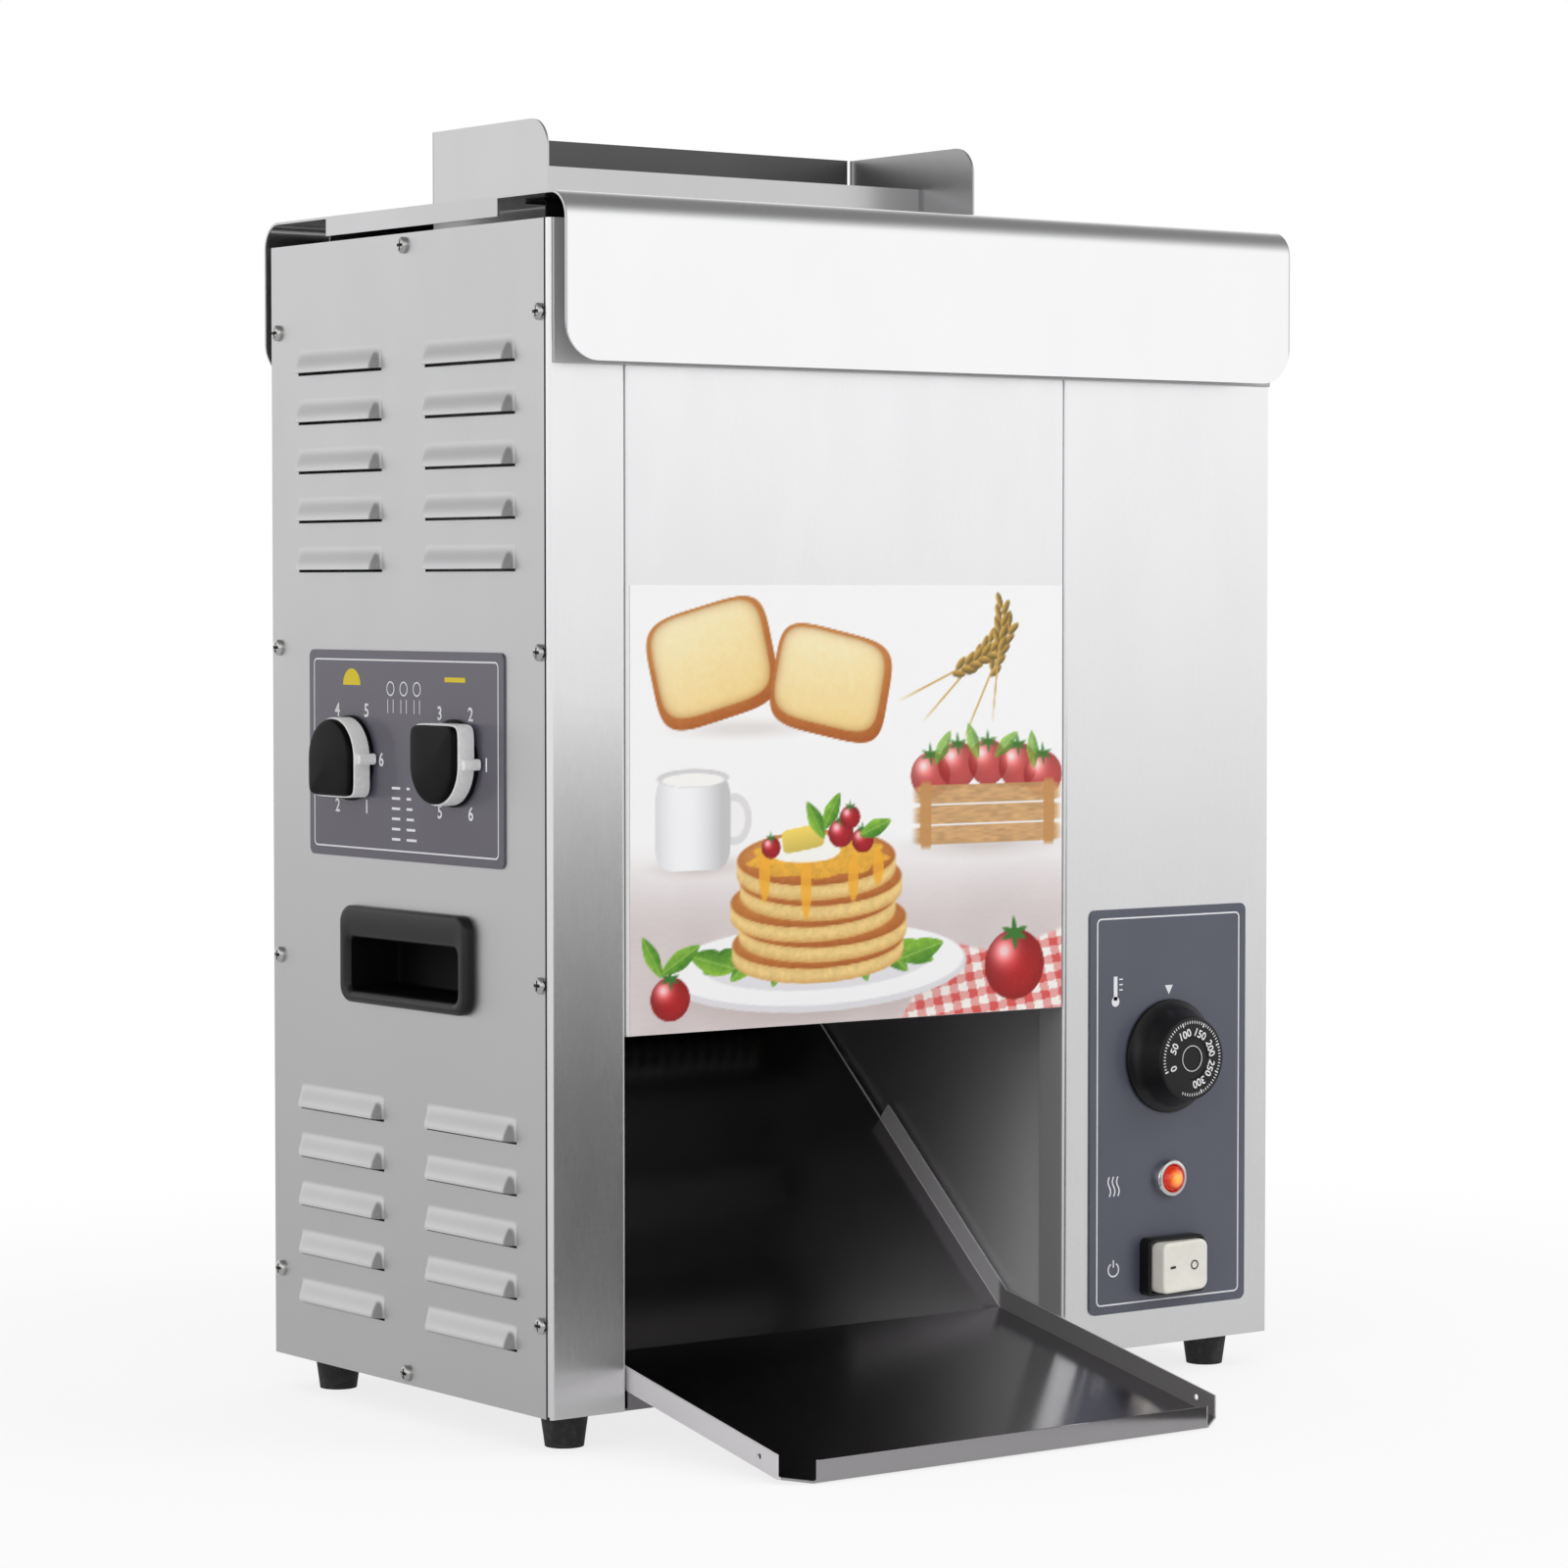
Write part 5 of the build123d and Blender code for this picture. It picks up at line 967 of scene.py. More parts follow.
class TOASTER_OT_knobs(Operator):
    """Makes the two compression knobs: skirt, side wall painted near-white for the bright reflection of its
    chrome, black grip and pointer nub
    """

    bl_idname = "toaster.knobs"
    bl_label = "Compression knobs"

    def execute(self, context):
        # The chrome side wall is painted near-white and barely metallic: a painted highlight for its bright
        # reflection
        bright = machined_steel("knob_trim", grey(0.96), grey(0.88), 0.26, 0.05)
        fillet, skirt_tall, grip_share = 0.0006, 0.0016, 0.955
        for node, flat_way in (("heel_knob", 1), ("crown_knob", -1)):
            middle = knob_axis(node)
            spot = LEFT.spot(node)
            low, high, radius = spot.low, spot.high, spot.size[1] / 2
            grip = grip_outline(radius * grip_share, flat_way, 144)
            cap = moulding(grip, rounded(0.0008, high - 0.0036, high - 0.0005, 0.0016, 6), middle)
            shape = Shape()
            skirt = rounded(0.0, low, low + skirt_tall, fillet) + [(radius * 0.4, low + 0.002)]
            shape.mould(LEFT, circle(radius, 72), skirt, middle)
            shape.mould(LEFT, grip, rounded(0.0, low + skirt_tall, high - 0.0034, fillet), middle, kind=1)
            shape.rings(LEFT.at(np.concatenate((cap, dome(cap[-1], middle, 0.0005)))), start=False)
            nub = rounded_box(0.0052, 0.0056, 0.0018, 6)
            sides = rounded(0.0, low + 0.0002, high - 0.004, 0.001)
            shape.mould(LEFT, nub, sides, (middle[0] - radius - 0.0004, middle[1]), kind=1)
            shape.stand_in(node + "_grip", node, "black_plastic", node, 32, [bright])
        return {"FINISHED"}


class TOASTER_OT_dial(Operator):
    """Makes the thermostat dial with its scale"""

    bl_idname = "toaster.dial"
    bl_label = "Thermostat dial"

    def execute(self, context):
        spot = FRONT.spot("thermostat_dial")
        middle, high, radius = spot.middle, spot.high, spot.size[0] / 2
        base = FRONT.spot("front_control_plate").high + 0.0008
        face = radius * 0.72
        profile = [(0.0, base), (0.0, base + 0.0008), (0.0004, base + 0.0016), (0.0026, base + 0.0026),
                   (0.0044, base + 0.0046), (0.0052, base + 0.0075)]
        profile += rounded(radius - face - 0.0006, base + 0.009, high, 0.0014, 6)[1:]
        profile += [(radius * 0.62, high), (radius * 0.645, high - 0.0007), (radius * 0.8, high - 0.0007)]
        shape = Shape()
        shape.mould(FRONT, circle(radius, 96), profile, middle)
        shape.stand_in("dial_knob", "thermostat_dial", "black_plastic", "thermostat_dial", 30)
        self.scale(Print(FRONT, high), middle, face)
        return {"FINISHED"}

    def scale(self, marks, middle, face):
        """A mark every few degrees round the face, and a longer one with its figure at every ninth."""
        start, sweep, count, long_every = 200.0, 310.0, 63, 9
        for number in range(count):
            way = ray(math.radians(start - sweep * number / (count - 1)))
            long = number % long_every == 0
            ends = np.array((face - 0.0018, face * (0.815 if long else 0.85)))
            marks.line(ends[:, None] * way, 0.0008 if long else 0.0005, middle)
            if long:
                degrees = 50 * number // long_every
                turn = start - sweep * number / (count - 1) - 90
                marks.figure(str(degrees), sizes().dial_numeral, way * face * 0.63 + middle, turn)
        ring = circle(face * 0.3, 48)[0]
        marks.band(ring * 1.06 + middle, ring + middle)
        marks.build("dial_scale", [ink("dial_ink", shade("ink"))], "thermostat_dial", "black_plastic")


class TOASTER_OT_lamp(Operator):
    """Makes the indicator lamp: chrome bezel and faceted lens"""

    bl_idname = "toaster.lamp"
    bl_label = "Indicator lamp"

    def execute(self, context):
        spot, lens = FRONT.spot("lamp_bezel"), FRONT.spot("lamp_lens")
        middle, high, radius, lens_radius = spot.middle, spot.high, spot.size[0] / 2, lens.size[0] / 2
        base = FRONT.spot("front_control_plate").high
        wall = radius - lens_radius
        profile = [(0.0, base), (0.0, base + 0.001)] + rounded(0.0004, base + 0.0012, high, 0.0016, 6)[1:]
        profile += [(wall - 0.0008, high), (wall - 0.0002, high - 0.0008), (wall, base + 0.001)]
        shape = Shape()
        shape.mould(FRONT, circle(radius, 72), profile, middle, start=False, end=False)
        shape.stand_in("lamp_ring", "lamp_bezel", "chrome", smooth=30)
        self.jewel(middle, base + 0.0012, lens.high, lens_radius - 0.0001)
        return {"FINISHED"}

    def jewel(self, middle, low, high, radius):
        """A dome of twelve shallow facets. Its height grows with a power of the way up, and its radius
        falls as a quarter circle does."""
        facets, cut, power, closed = 12, 0.02, 0.85, 0.999
        share = np.linspace(0, 1, 12)[:, None]
        angle = around(72)[None, :]
        facet = 1 + cut * np.cos(angle * facets) * np.sin(share * np.pi)
        r = radius * np.sqrt(1 - share ** 2 * closed) * facet
        height = np.broadcast_to(low + (high - low) * share ** power, r.shape)
        rings = np.stack((r * np.cos(angle) + middle[0], r * np.sin(angle) + middle[1], height), axis=-1)
        shape = Shape()
        shape.rings(FRONT.at(rings), start=False)
        shape.stand_in("lamp_jewel", "lamp_lens", "amber_lens", smooth=50)


class TOASTER_OT_switch(Operator):
    """Makes the power switch: black bezel and cream rocker"""

    bl_idname = "toaster.switch"
    bl_label = "Power switch"

    def execute(self, context):
        spot = FRONT.spot("switch_housing")
        base, high, wall = FRONT.spot("front_control_plate").high, spot.high, 0.0017
        profile = [(0.0, base), (0.0, base + 0.0012)] + rounded(0.0, base + 0.0015, high, 0.0012)[1:]
        profile += [(wall - 0.0002, high), (wall, high - 0.0004), (wall, base)]
        outline = rounded_box(*spot.size, 0.0035, 8)
        shape = Shape()
        shape.mould(FRONT, outline, profile, spot.middle, start=False)
        shape.stand_in("switch_bezel", "switch_housing", "black_plastic", smooth=30)
        self.rocker((*spot.middle, base + 0.0045))
        return {"FINISHED"}

    def rocker(self, pin):
        """The rocker, with a bar and a ring printed on its ends."""
        wide, tall, top = 0.0354, FRONT.spot("switch_rocker").size[1] - 0.0022, 0.0068
        tilt, swell = 7.0, 0.0024
        outline = rounded_box(wide, tall, 0.0048, 8)
        cap = moulding(outline, [(0.0, -0.001)] + rounded(0.0, 0.004, top, 0.0014, 6), (0, 0))
        cap = np.concatenate((cap, dome(cap[-1], (0, 0), -0.0003)))
        cos, sin = ray(math.radians(tilt))

        def tilted(points):
            """Lifts both ends by the 1.4th power of the way out, then tilts about the rocker's pin."""
            lift = step((points[..., 2] + 0.001) / 0.006) * (np.abs(points[..., 0]) * 2 / wide) ** 1.4
            x, z = points[..., 0], points[..., 2] + lift * swell
            return FRONT.at(np.stack((x * cos + z * sin, points[..., 1], z * cos - x * sin), axis=-1) + pin)

        shape = Shape()
        shape.rings(tilted(cap), start=False)
        for line, width in ((((-0.0112, 0.0), (-0.0062, 0.0)), 0.0013),
                            (arc(0.0022, 0, 360, 40, (0.0085, 0.0)), 0.0007)):
            shape.grid(tilted(at_height(ribbon(line, width), top)), kind=1)
        dark = ink("rocker_ink", shade("plastic"))
        shape.stand_in("rocker_cap", "switch_rocker", "cream_plastic", "power_rocker", 30, [dark])


class TOASTER_OT_prints(Operator):
    """Prints borders, figures and plain signs on both control plates"""

    bl_idname = "toaster.prints"
    bl_label = "Plate prints"

    def execute(self, context):
        s = sizes()
        inks = [ink("plate_ink", shade("ink")), ink("plate_mark", shade("mark"))]
        for side, wall in (("left", LEFT), ("front", FRONT)):
            plate = wall.spot(side + "_control_plate")
            marks = Print(wall, plate.high)
            border, out = rounded_box(*(plate.size - 2 * s.plate_border), 0.003, 8)
            marks.band(border + plate.middle, border - out * s.border_line + plate.middle)
            if wall is LEFT:
                self.knob_signs(marks, plate.middle)
            else:
                self.front_signs(marks)
            marks.build(side + "_plate_print", inks, "frame", "printed_plate")
        return {"FINISHED"}

    def knob_signs(self, marks, plate):
        """Figures round both knobs, a bar above one and a half round above the other, and signs between
        them."""
        s = sizes()
        sign_rise, pitch, stroke = 0.0415, 0.0125, 0.0013
        for node, figures in (("heel_knob", "123456"), ("crown_knob", "654321")):
            middle = knob_axis(node)
            for number, figure in enumerate(figures):
                spot = middle + ray(math.radians(60 * number)) * (-s.number_ring, s.number_ring)
                marks.figure(figure, s.numeral, spot, mirror=-1)
            sign = middle + (0.0, sign_rise)
            if node == "crown_knob":
                marks.patch(arc(0.0085, 0, 180, 24, sign - (0, 0.004)), kind=1)
            else:
                corners = np.array(((-1, -1), (1, -1), (1, 1), (-1, 1)))
                marks.patch(corners * (0.0095, 0.0012) + sign, kind=1)
        for shift in (-pitch, 0.0, pitch):
            spot = plate + (shift, 0.034)
            marks.line(arc(0.0034, 0, 360, 30), 0.0007, spot)
            for side in (-0.0026, 0.0026):
                marks.line(((side, -0.0055), (side, -0.0125)), 0.0006, spot)
        for row in range(6):
            spot = plate + (0.0, -0.0165 - 0.0052 * row)
            marks.line(((0.0115, 0.0), (0.0035, 0.0)), stroke, spot)
            marks.line(((-0.0025, 0.0), (-0.0055 - 0.0013 * row, 0.0)), stroke, spot)

    def front_signs(self, marks):
        """A pointer above the dial, and a thermometer, a heat sign and a power sign beside the controls."""
        aside, thin, thick = 0.0385, 0.0008, 0.0026
        dial, lamp, switch = (
            FRONT.spot(node).middle for node in ("thermostat_dial", "lamp_bezel", "switch_housing"))
        marks.patch(dial + (0, 0.0345) + ((0.0, -0.0015), (0.0028, 0.0035), (-0.0028, 0.0035)))
        side = dial + (-0.0375, 0.0365)
        marks.line(((0.0, -0.005), (0.0, 0.0078)), thick, side)
        marks.patch(circle(0.0027, 20)[0] + side - (0, 0.0056))
        for row in range(3):
            marks.line(((0.0026, 0.0), (0.005, 0.0)), 0.0007, side + (0, 0.0006 + 0.0028 * row))
        wave = np.linspace(0, 1, 24)
        for shift in (-0.003, 0.0, 0.003):
            line = np.stack((np.sin(wave * 2 * np.pi) * 0.0009 + shift, (wave - 0.5) * 0.0105), axis=-1)
            marks.line(line, thin, lamp + (-aside, -0.002))
        side = switch + (-aside, 0.0)
        marks.line(arc(0.0036, 120, 420, 32), thin, side)
        marks.line(((0, 0.0012), (0, 0.0052)), thin, side)


def lattice(x, y, scale, seed):
    """Smooth noise from 0 to 1: random values on a square lattice, eased between with 3 t squared
    minus 2 t cubed."""
    side = 64
    table = np.random.default_rng(seed).random((side, side))
    i, j = np.floor(x * scale).astype(int), np.floor(y * scale).astype(int)
    s, t = step(x * scale - i), step(y * scale - j)
    low, high = (table[i % side, row % side] * (1 - s) + table[(i + 1) % side, row % side] * s
                 for row in (j, j + 1))
    return low * (1 - t) + high * t


def blend(first, second, share):
    """Colours between two colours, by each point's share of the second."""
    share = np.asarray(share)[..., None]
    return np.asarray(first) * (1 - share) + np.asarray(second) * share


class Picture:
    """A printed picture, painted in soft-edged layers on a grid of points measured in millimetres."""

    def __init__(self, size, columns, rows):
        self.x, self.y = np.meshgrid(
            np.linspace(0, size[0], columns), np.linspace(0, size[1], rows), indexing="xy")
        self.colour = np.ones(self.x.shape + (3,))
        self.grain = lattice(self.x, self.y, 0.9, 1) * 0.5 + lattice(self.x, self.y, 0.3, 2) * 0.5

    def cover(self, mask, colour, strength=1.0):
        """Lays a colour over the picture where the mask is 1."""
        mask = (mask * strength)[..., None]
        self.colour = self.colour * (1 - mask) + np.asarray(colour) / 255 * mask

    def oval(self, middle, radii, turn=0.0, power=2.0):
        """Where a point lies in an oval: along and across it in shares of its radii, and from 0 at its
        middle to 1 at its edge."""
        cos, sin = ray(math.radians(turn))
        dx, dy = self.x - middle[0], self.y - middle[1]
        u, v = (dx * cos + dy * sin) / radii[0], (dy * cos - dx * sin) / radii[1]
        return u, v, (np.abs(u) ** power + np.abs(v) ** power) ** (1 / power)

    def blob(self, middle, radii, colour, turn=0.0, power=2.0, strength=1.0, soft=0.5, wave=0.0):
        """Covers an oval, with an edge of a soft width that goes in and out nine times by a wave. The
        colour is one for all points, one for each, or a function of where they lie in the oval."""
        u, v, far = self.oval(middle, radii, turn, power)
        far = far * (1 + wave * np.sin(np.arctan2(v, u) * 9))
        if callable(colour):
            colour = colour(u, v, far)
        self.cover(np.clip((1 - far) * min(radii) / soft + 0.5, 0, 1), colour, strength)

    def shadow(self, middle, radii, strength):
        self.cover(np.clip(1.25 - self.oval(middle, radii)[2], 0, 1) ** 1.6, (150, 128, 120), strength)

    def grained(self, colour, least, more):
        """A colour that the grain makes darker and lighter."""
        return np.array(colour) * (least + more * self.grain[..., None])

    def bread(self, middle, radii, turn=0.0, power=2.0, crumb=False):
        """A loaf or a slice: shaded from its lit top to its dark rim, with a baked grain."""
        tones = ((246, 214, 140), (254, 240, 196)) if crumb else ((186, 100, 38), (236, 172, 92))

        def baked(u, v, far):
            lit = np.clip(0.55 + 0.4 * v - 0.12 * u + (self.grain - 0.5) * 0.35, 0, 1)
            rim = np.clip(far, 0, 1) ** (14 if crumb else 4)
            return blend(blend(*tones, lit), (150, 76, 26), rim * 0.45)

        self.blob(middle, radii, baked, turn, power)

    def cake(self, middle, radii, thick):
        """A flat round cake seen from a little above: its pale side and its browned top."""
        for drop in np.linspace(thick, 0, 7)[:-1]:
            side = blend((214, 150, 74), (250, 216, 142), 0.5 + 0.5 * np.sin(drop / thick * np.pi))
            self.blob((middle[0], middle[1] - drop), radii, self.grained(side, 0.9, 0.12))
        self.bread(middle, radii)

    def fruit(self, middle, radius, colour=(206, 26, 28), fade=1.0):
        """A glossy round fruit with a green stalk."""
        flat, stalk = 0.92, 0.09

        def glossy(u, v, far):
            light = np.clip(1.1 - np.hypot(u + 0.35, v - 0.4), 0, 1)[..., None]
            lit = np.array(colour) * (0.72 + 0.28 * (1 - far[..., None])) * (1 - light * 0.25)
            return lit + light ** 3 * 190

        self.blob(middle, (radius, radius * flat), glossy, strength=fade, soft=0.5 * flat)
        for turn in (20, 95, 160):
            self.blob((middle[0], middle[1] + radius * 0.82), (radius * 0.42, radius * stalk), (58, 120, 42),
                      turn, strength=fade, soft=0.6)

    def leaf(self, middle, radii, turn, fade=1.0):
        """A pointed leaf with a pale middle rib."""

        def veined(u, v, far):
            lit = np.clip(0.5 + v * 0.5 + (self.grain - 0.5) * 0.5, 0, 1)
            rib = np.clip(1 - np.abs(v) * 9, 0, 1) * 0.5
            return blend(blend((64, 128, 30), (150, 200, 62), lit), (196, 224, 130), rib)

        self.blob(middle, radii, veined, turn, 1.35, fade)

    def ear(self, foot, turn, grains):
        """An ear of wheat on its stalk, with its grains to either side in turn."""
        along = ray(math.radians(turn))
        aside = np.array((-along[1], along[0]))
        self.blob(foot + along * 18, (19, 0.55), (206, 168, 88), turn, 8.0, soft=0.6)
        for grain in range(grains):
            way = 1 if grain % 2 else -1
            spot = foot + along * (32 + 3.1 * grain) + aside * 2.3 * way
            self.blob(spot, (4.4, 1.9), lambda u, v, far: blend(
                (0, 0, 0), (232, 186, 92), np.clip(0.7 + 0.3 * v, 0, 1)), turn + 24 * way)


def bakery_picture():
    """A bakery still life of the maker's own: toast and wheat above, a crate of apples and a jug behind,
    and a stack of flat cakes with butter, berries and mint in front."""
    p = Picture(FRONT.spot("graphic_sheet").size * 1000, 340, 276)
    plank = 0.5 + 0.5 * lattice(p.x, p.y, 0.05, 5) + 0.25 * (lattice(p.x * 0.15, p.y, 1.6, 6) - 0.5)
    p.cover(step((105 - p.y) / 60), np.array((222, 210, 210)) * (0.92 + 0.08 * plank[..., None]))
    toast_and_wheat(p)
    crate(p)
    jug(p)
    check = 0.5 * ((p.x + p.y * 0.25) % 12 < 6) + 0.5 * ((p.y - p.x * 0.12) % 9 < 4.5)
    cloth = step((p.x - 168 - 10 * np.sin(p.y / 14)) / 3) * step((40 + 6 * np.sin(p.x / 21) - p.y) / 3)
    p.cover(cloth, (252, 246, 240))
    p.cover(cloth * check, (214, 46, 44), 0.8)
    cake_stack(p, 116)
    p.fruit((244, 24), 20)
    p.fruit((24, 17), 12)
    p.leaf((30, 36), (14, 5), 30)
    p.leaf((13, 38), (12, 4.4), 120)
    return p


def toast_and_wheat(p):
    crust_width = 3.5
    p.shadow((70, 150), (58, 7), 0.22)
    for x, y, wide, tall, turn in ((50, 183, 38, 29, 14), (124, 172, 37, 27, -12)):
        p.bread((x, y), (wide, tall), turn, 4.5)
        p.bread((x - 1, y + 2), (wide - crust_width, tall - crust_width), turn, 4.5, crumb=True)
    ears = ((190, 158, 42, 11), (214, 150, 62, 10), (176, 166, 22, 10), (230, 160, 84, 8))
    for x, y, turn, grains in ears:
        p.ear((x, y), turn, grains)


def crate(p):
    """Three boards between two posts, full of apples."""
    p.shadow((224, 88), (56, 8), 0.3)
    for x, y in ((188, 124), (206, 129), (226, 130), (246, 128), (263, 123)):
        p.fruit((x, y), 13, (216, 40, 36), 0.8)
    for x, y, turn in ((196, 138, 60), (216, 141, 110), (238, 139, 40), (256, 136, 95)):
        p.leaf((x, y), (10, 4), turn, 0.75)
    for row in range(3):
        wood = np.array((224, 172, 112)) * (0.82 + 0.18 * lattice(p.x, p.y * 5, 0.2, 9 + row)[..., None])
        p.blob((226, 93 + row * 10.5), (48, 4.8), wood, 0, 9.0, 0.92)
    for x in (185, 267):
        p.blob((x, 103.5), (3.6, 17), (200, 146, 88), 0, 9.0, 0.95)


def jug(p):
    """A white jug: its handle, its round side and its open top."""
    p.shadow((42, 82), (32, 6), 0.35)
    p.blob((63, 105), (11, 13), (226, 224, 226))
    p.blob((63, 105), (7, 9), (248, 246, 246))
    p.blob((38, 104), (23, 24), lambda u, v, far: blend(
        (250, 250, 252), (0, 0, 0), 0.2 * np.clip(np.abs(u + 0.25), 0, 1) ** 2), 0, 5.0)
    p.blob((38, 126), (22, 4.6), (214, 212, 214))
    p.blob((38, 125), (19, 3.4), (252, 250, 246))


def cake_stack(p, middle):
    """Flat cakes on a pale plate, with mint around them and butter, cream and berries on top."""
    p.shadow((middle, 20), (104, 22), 0.45)
    p.blob((middle, 28), (96, 22), (226, 224, 228))
    p.blob((middle, 30), (94, 20.5), (250, 250, 252))
    p.blob((middle, 31), (72, 14), (230, 228, 232))
    leaves = ((-58, 200), (-44, 222), (-24, 250), (26, 290), (46, 318), (60, 340), (-66, 165), (66, 15))
    for x, turn in leaves:
        p.leaf((middle + x, 34), (15, 6.5), turn)
    for number, x in enumerate((0, 3, -3, 2, -1)):
        p.cake((middle + x, 42 + number * 10.5), (54 - number, 14), 7.5)
    p.blob((middle, 84), (43, 10), p.grained((250, 190, 60), 0.86, 0.2), strength=0.85, wave=0.07)
    for x, y, tall in ((-34, 76, 13), (-8, 71, 18), (22, 73, 12), (38, 78, 9)):
        p.blob((middle + x, y), (3.4, tall), (246, 176, 48), strength=0.85)
    p.blob((middle - 8, 89), (22, 7), (255, 252, 244), 0, 2.6)
    p.blob((middle - 10, 94), (13, 6), lambda u, v, far: blend(
        (0, 0, 0), (252, 222, 104), 0.92 + 0.08 * np.clip(v, -1, 1)), 8, 6.0)
    for x, y, radius in ((14, 96, 8), (28, 92, 7), (20, 104, 6.5), (-30, 90, 6)):
        p.fruit((middle + x, y), radius, (200, 20, 34))
    for x, y, turn in ((8, 107, 60), (-2, 103, 120), (36, 98, 20)):
        p.leaf((middle + x, y), (11, 4.6), turn)


class TOASTER_OT_picture(Operator):
    """Prints a generic bakery picture on the sheet above the outlet"""

    bl_idname = "toaster.picture"
    bl_label = "Printed picture"

    def execute(self, context):
        p = bakery_picture()
        spot = FRONT.spot("graphic_sheet")
        flat = np.stack((p.x, p.y), axis=-1) / 1000 + spot.middle - spot.size / 2
        shape = Shape()
        shape.grid(FRONT.at(at_height(flat, spot.high + PRINT_GAP)))
        f = Finish("printed_picture")
        cover = f.noise(700.0, 2.0)
        colour = f.mix(cover * 0.03, f.node("Attribute", attribute_name="print"), grey(0.75))
        f.surface(Base_Color=colour, Roughness=cover.swing(0.1) + 0.45, Specular_IOR_Level=0.25)
        piece = shape.build("bakery_print", [f.material], "frame", mend=False)
        tint = piece.data.color_attributes.new("print", "FLOAT_COLOR", "POINT")
        colours = np.concatenate((linear(np.clip(p.colour, 0, 0.985)), np.ones(p.x.shape + (1,))), axis=-1)
        tint.data.foreach_set("color", colours.astype(np.float32).reshape(-1))
        return {"FINISHED"}


def card(name, corners, material):
    """A flat card of the studio, from the two ends of one edge and then those of the edge across."""
    mesh = bpy.data.meshes.new(name)
    mesh.from_pydata(np.array(corners).tolist(), [], [(0, 1, 3, 2)])
    mesh.materials.append(material)
    piece = bpy.data.objects.new(name, mesh)
    bpy.context.scene.collection.objects.link(piece)
    return piece


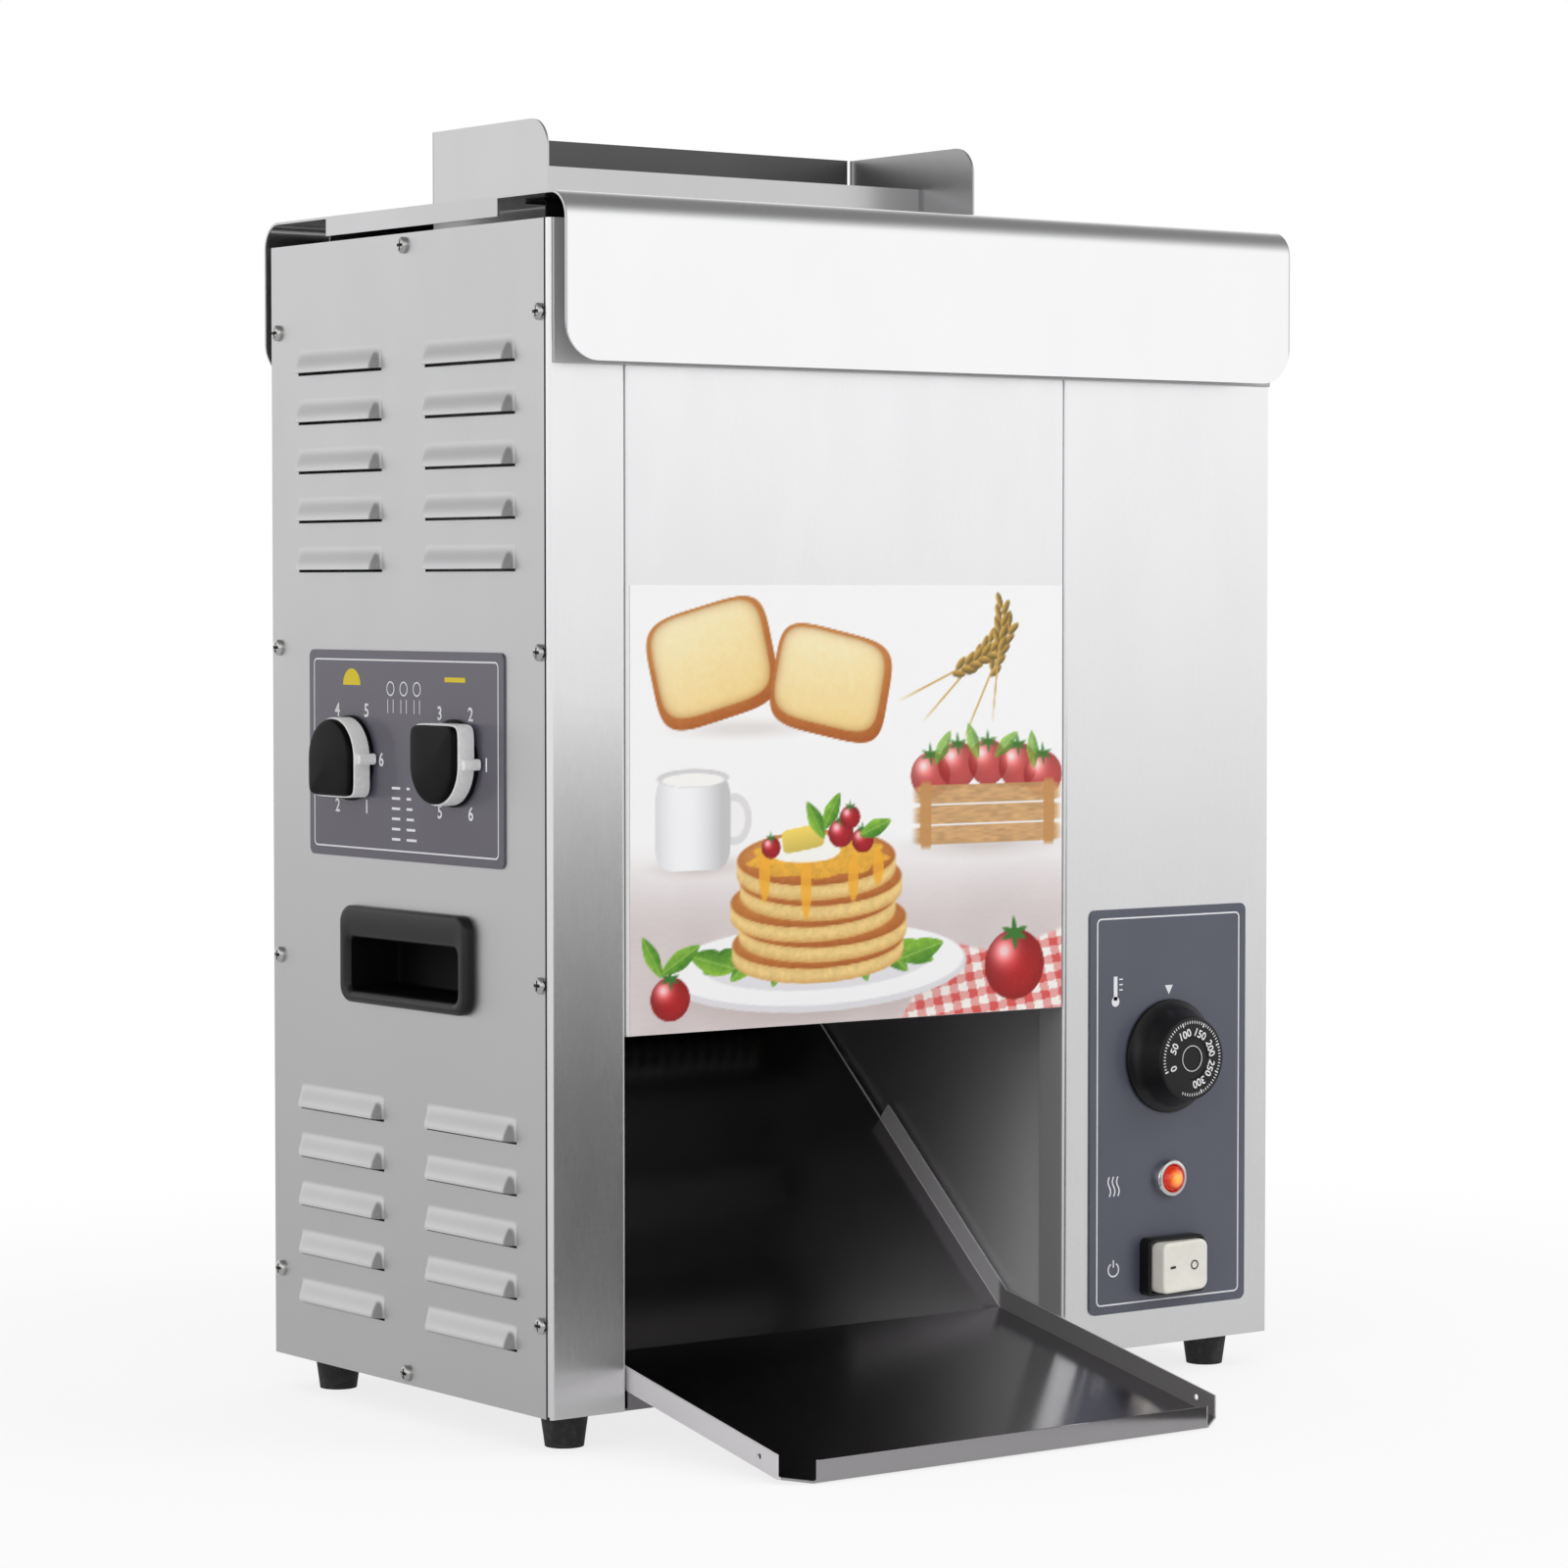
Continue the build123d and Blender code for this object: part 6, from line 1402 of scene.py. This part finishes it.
class TOASTER_OT_stage(Operator):
    """Sets the camera, the floor, the lamps and the world"""

    bl_idname = "toaster.stage"
    bl_label = "Stage"

    def execute(self, context):
        self.camera(context.scene)
        self.floor(6.0)
        self.flag((-0.05, -0.3, 0.002), (0.1, -0.56, 0.34), 0.36)
        self.lamp("key", (1.9, -2.3, 2.1), 1.7, 30.0)
        self.lamp("fill", (-2.4, -1.6, 2.0), 2.2, 14.0)
        self.lamp("top", (0.0, 0.2, 3.0), 2.4, 16.0)
        self.world(context.scene)
        context.scene.view_settings.view_transform = "Standard"
        return {"FINISHED"}

    def camera(self, scene):
        """A long lens at the photograph's viewing angle."""
        camera = bpy.data.objects.new("camera", bpy.data.cameras.new("camera"))
        scene.collection.objects.link(camera)
        camera.location = (-1.503, -1.969, 0.423)
        camera.rotation_euler = tuple(math.radians(v) for v in (87.63, 0.0, -36.67))
        camera.data.lens = 108.4
        camera.data.sensor_width = 36.0
        scene.camera = camera

    def floor(self, reach):
        """Paper that the camera sees as white, and polished faces as grey."""
        f = Finish("floor_paper")
        seen, mirrored = f.rays()
        x, y = f.axes()[:2]
        far = ((x * x + y * y) ** 0.5).above(0.75, 0.6)
        f.surface(Base_Color=grey(0.93), Roughness=0.9, Specular_IOR_Level=0.1)
        glow = f.node("Emission", {"Color": grey(1), "Strength": seen + mirrored * 0.52})
        paper = Value(f, f.shader.outputs[0])
        shown = f.node("MixShader", {0: seen * (far * 0.2 + 0.8) + mirrored * 0.8, 1: paper, 2: glow})
        f.plug(f.tree.nodes["Material Output"].inputs["Surface"], shown)
        card("floor", [(x, y, 0.0) for y in (-reach, reach) for x in (-reach, reach)], f.material)

    def flag(self, foot, head, width):
        """A leaning card in front of the object, dark below and pale above, which only polished faces
        mirror. It spans two level edges, whose middles are its foot and its head."""
        foot, head = np.array(foot), np.array(head)
        lean = head - foot
        aside = np.array((lean[1], -lean[0], 0.0)) * width / np.hypot(lean[0], lean[1]) / 2
        f = Finish("flag_cloth")
        pale = f.axes()[2].above(0.22, 0.26)
        f.surface(Base_Color=f.mix(pale, grey(0.17), grey(0.62)), Roughness=0.9)
        cloth = card("flag", (foot + aside, foot - aside, head + aside, head - aside), f.material)
        cloth.visible_camera = False
        cloth.visible_shadow = False
        cloth.visible_diffuse = False

    def lamp(self, name, place, size, power):
        """A square soft light, aimed at the object's middle and unseen in polished faces."""
        light = bpy.data.lights.new(name, "AREA")
        light.shape = "SQUARE"
        light.size = size
        light.energy = power
        holder = bpy.data.objects.new(name, light)
        holder.location = place
        holder.visible_glossy = False
        aim = np.array((0.0, 0.0, 0.3)) - np.array(place)
        holder.rotation_euler = (
            math.acos(-aim[2] / np.linalg.norm(aim)), 0.0, math.atan2(aim[1], aim[0]) + math.pi * 1.5)
        bpy.context.scene.collection.objects.link(holder)

    def world(self, scene):
        """White for the camera, a room with a darker ceiling in polished metal, and an even soft light."""
        world = bpy.data.worlds.new("studio")
        world.use_nodes = True
        world.node_tree.nodes.clear()
        w = Wiring(world.node_tree)
        seen, mirrored = w.rays()
        rise = w.node("SeparateXYZ", {0: w.node("TexCoord", output="Generated")}).out(2)
        room = 1.07 - rise.above(0.5, 0.6) * 0.85
        level = seen + mirrored * room + (1 - seen - mirrored) * 0.6
        glow = w.node("Background", {"Color": grey(1), "Strength": level})
        w.plug(w.tree.nodes.new("ShaderNodeOutputWorld").inputs["Surface"], glow)
        scene.world = world


STEPS = ("stage", "finishes", "side_panels", "screws", "handles", "knobs", "dial", "lamp", "switch",
         "prints", "picture")


class TOASTER_PT_panel(Panel):
    """Lists the toaster's steps, sizes and colours"""

    bl_label = "Bun toaster"
    bl_space_type = "VIEW_3D"
    bl_region_type = "UI"
    bl_category = "Bun toaster"

    def draw(self, context):
        for name in STEPS:
            self.layout.operator("toaster." + name)
        for group in (context.scene.toaster_sizes, context.scene.toaster_colours):
            for key in group.__annotations__:
                self.layout.prop(group, key)


CLASSES = (
    ToasterSizes, ToasterColours, TOASTER_OT_stage, TOASTER_OT_finishes, TOASTER_OT_side_panels,
    TOASTER_OT_screws, TOASTER_OT_handles, TOASTER_OT_knobs, TOASTER_OT_dial, TOASTER_OT_lamp,
    TOASTER_OT_switch, TOASTER_OT_prints, TOASTER_OT_picture, TOASTER_PT_panel)


def register():
    for cls in CLASSES:
        bpy.utils.register_class(cls)
    bpy.types.Scene.toaster_sizes = PointerProperty(type=ToasterSizes)
    bpy.types.Scene.toaster_colours = PointerProperty(type=ToasterColours)


def unregister():
    del bpy.types.Scene.toaster_colours
    del bpy.types.Scene.toaster_sizes
    for cls in reversed(CLASSES):
        bpy.utils.unregister_class(cls)


def main():
    register()
    for name in STEPS:
        getattr(bpy.ops.toaster, name)()


if __name__ == "__main__":
    main()
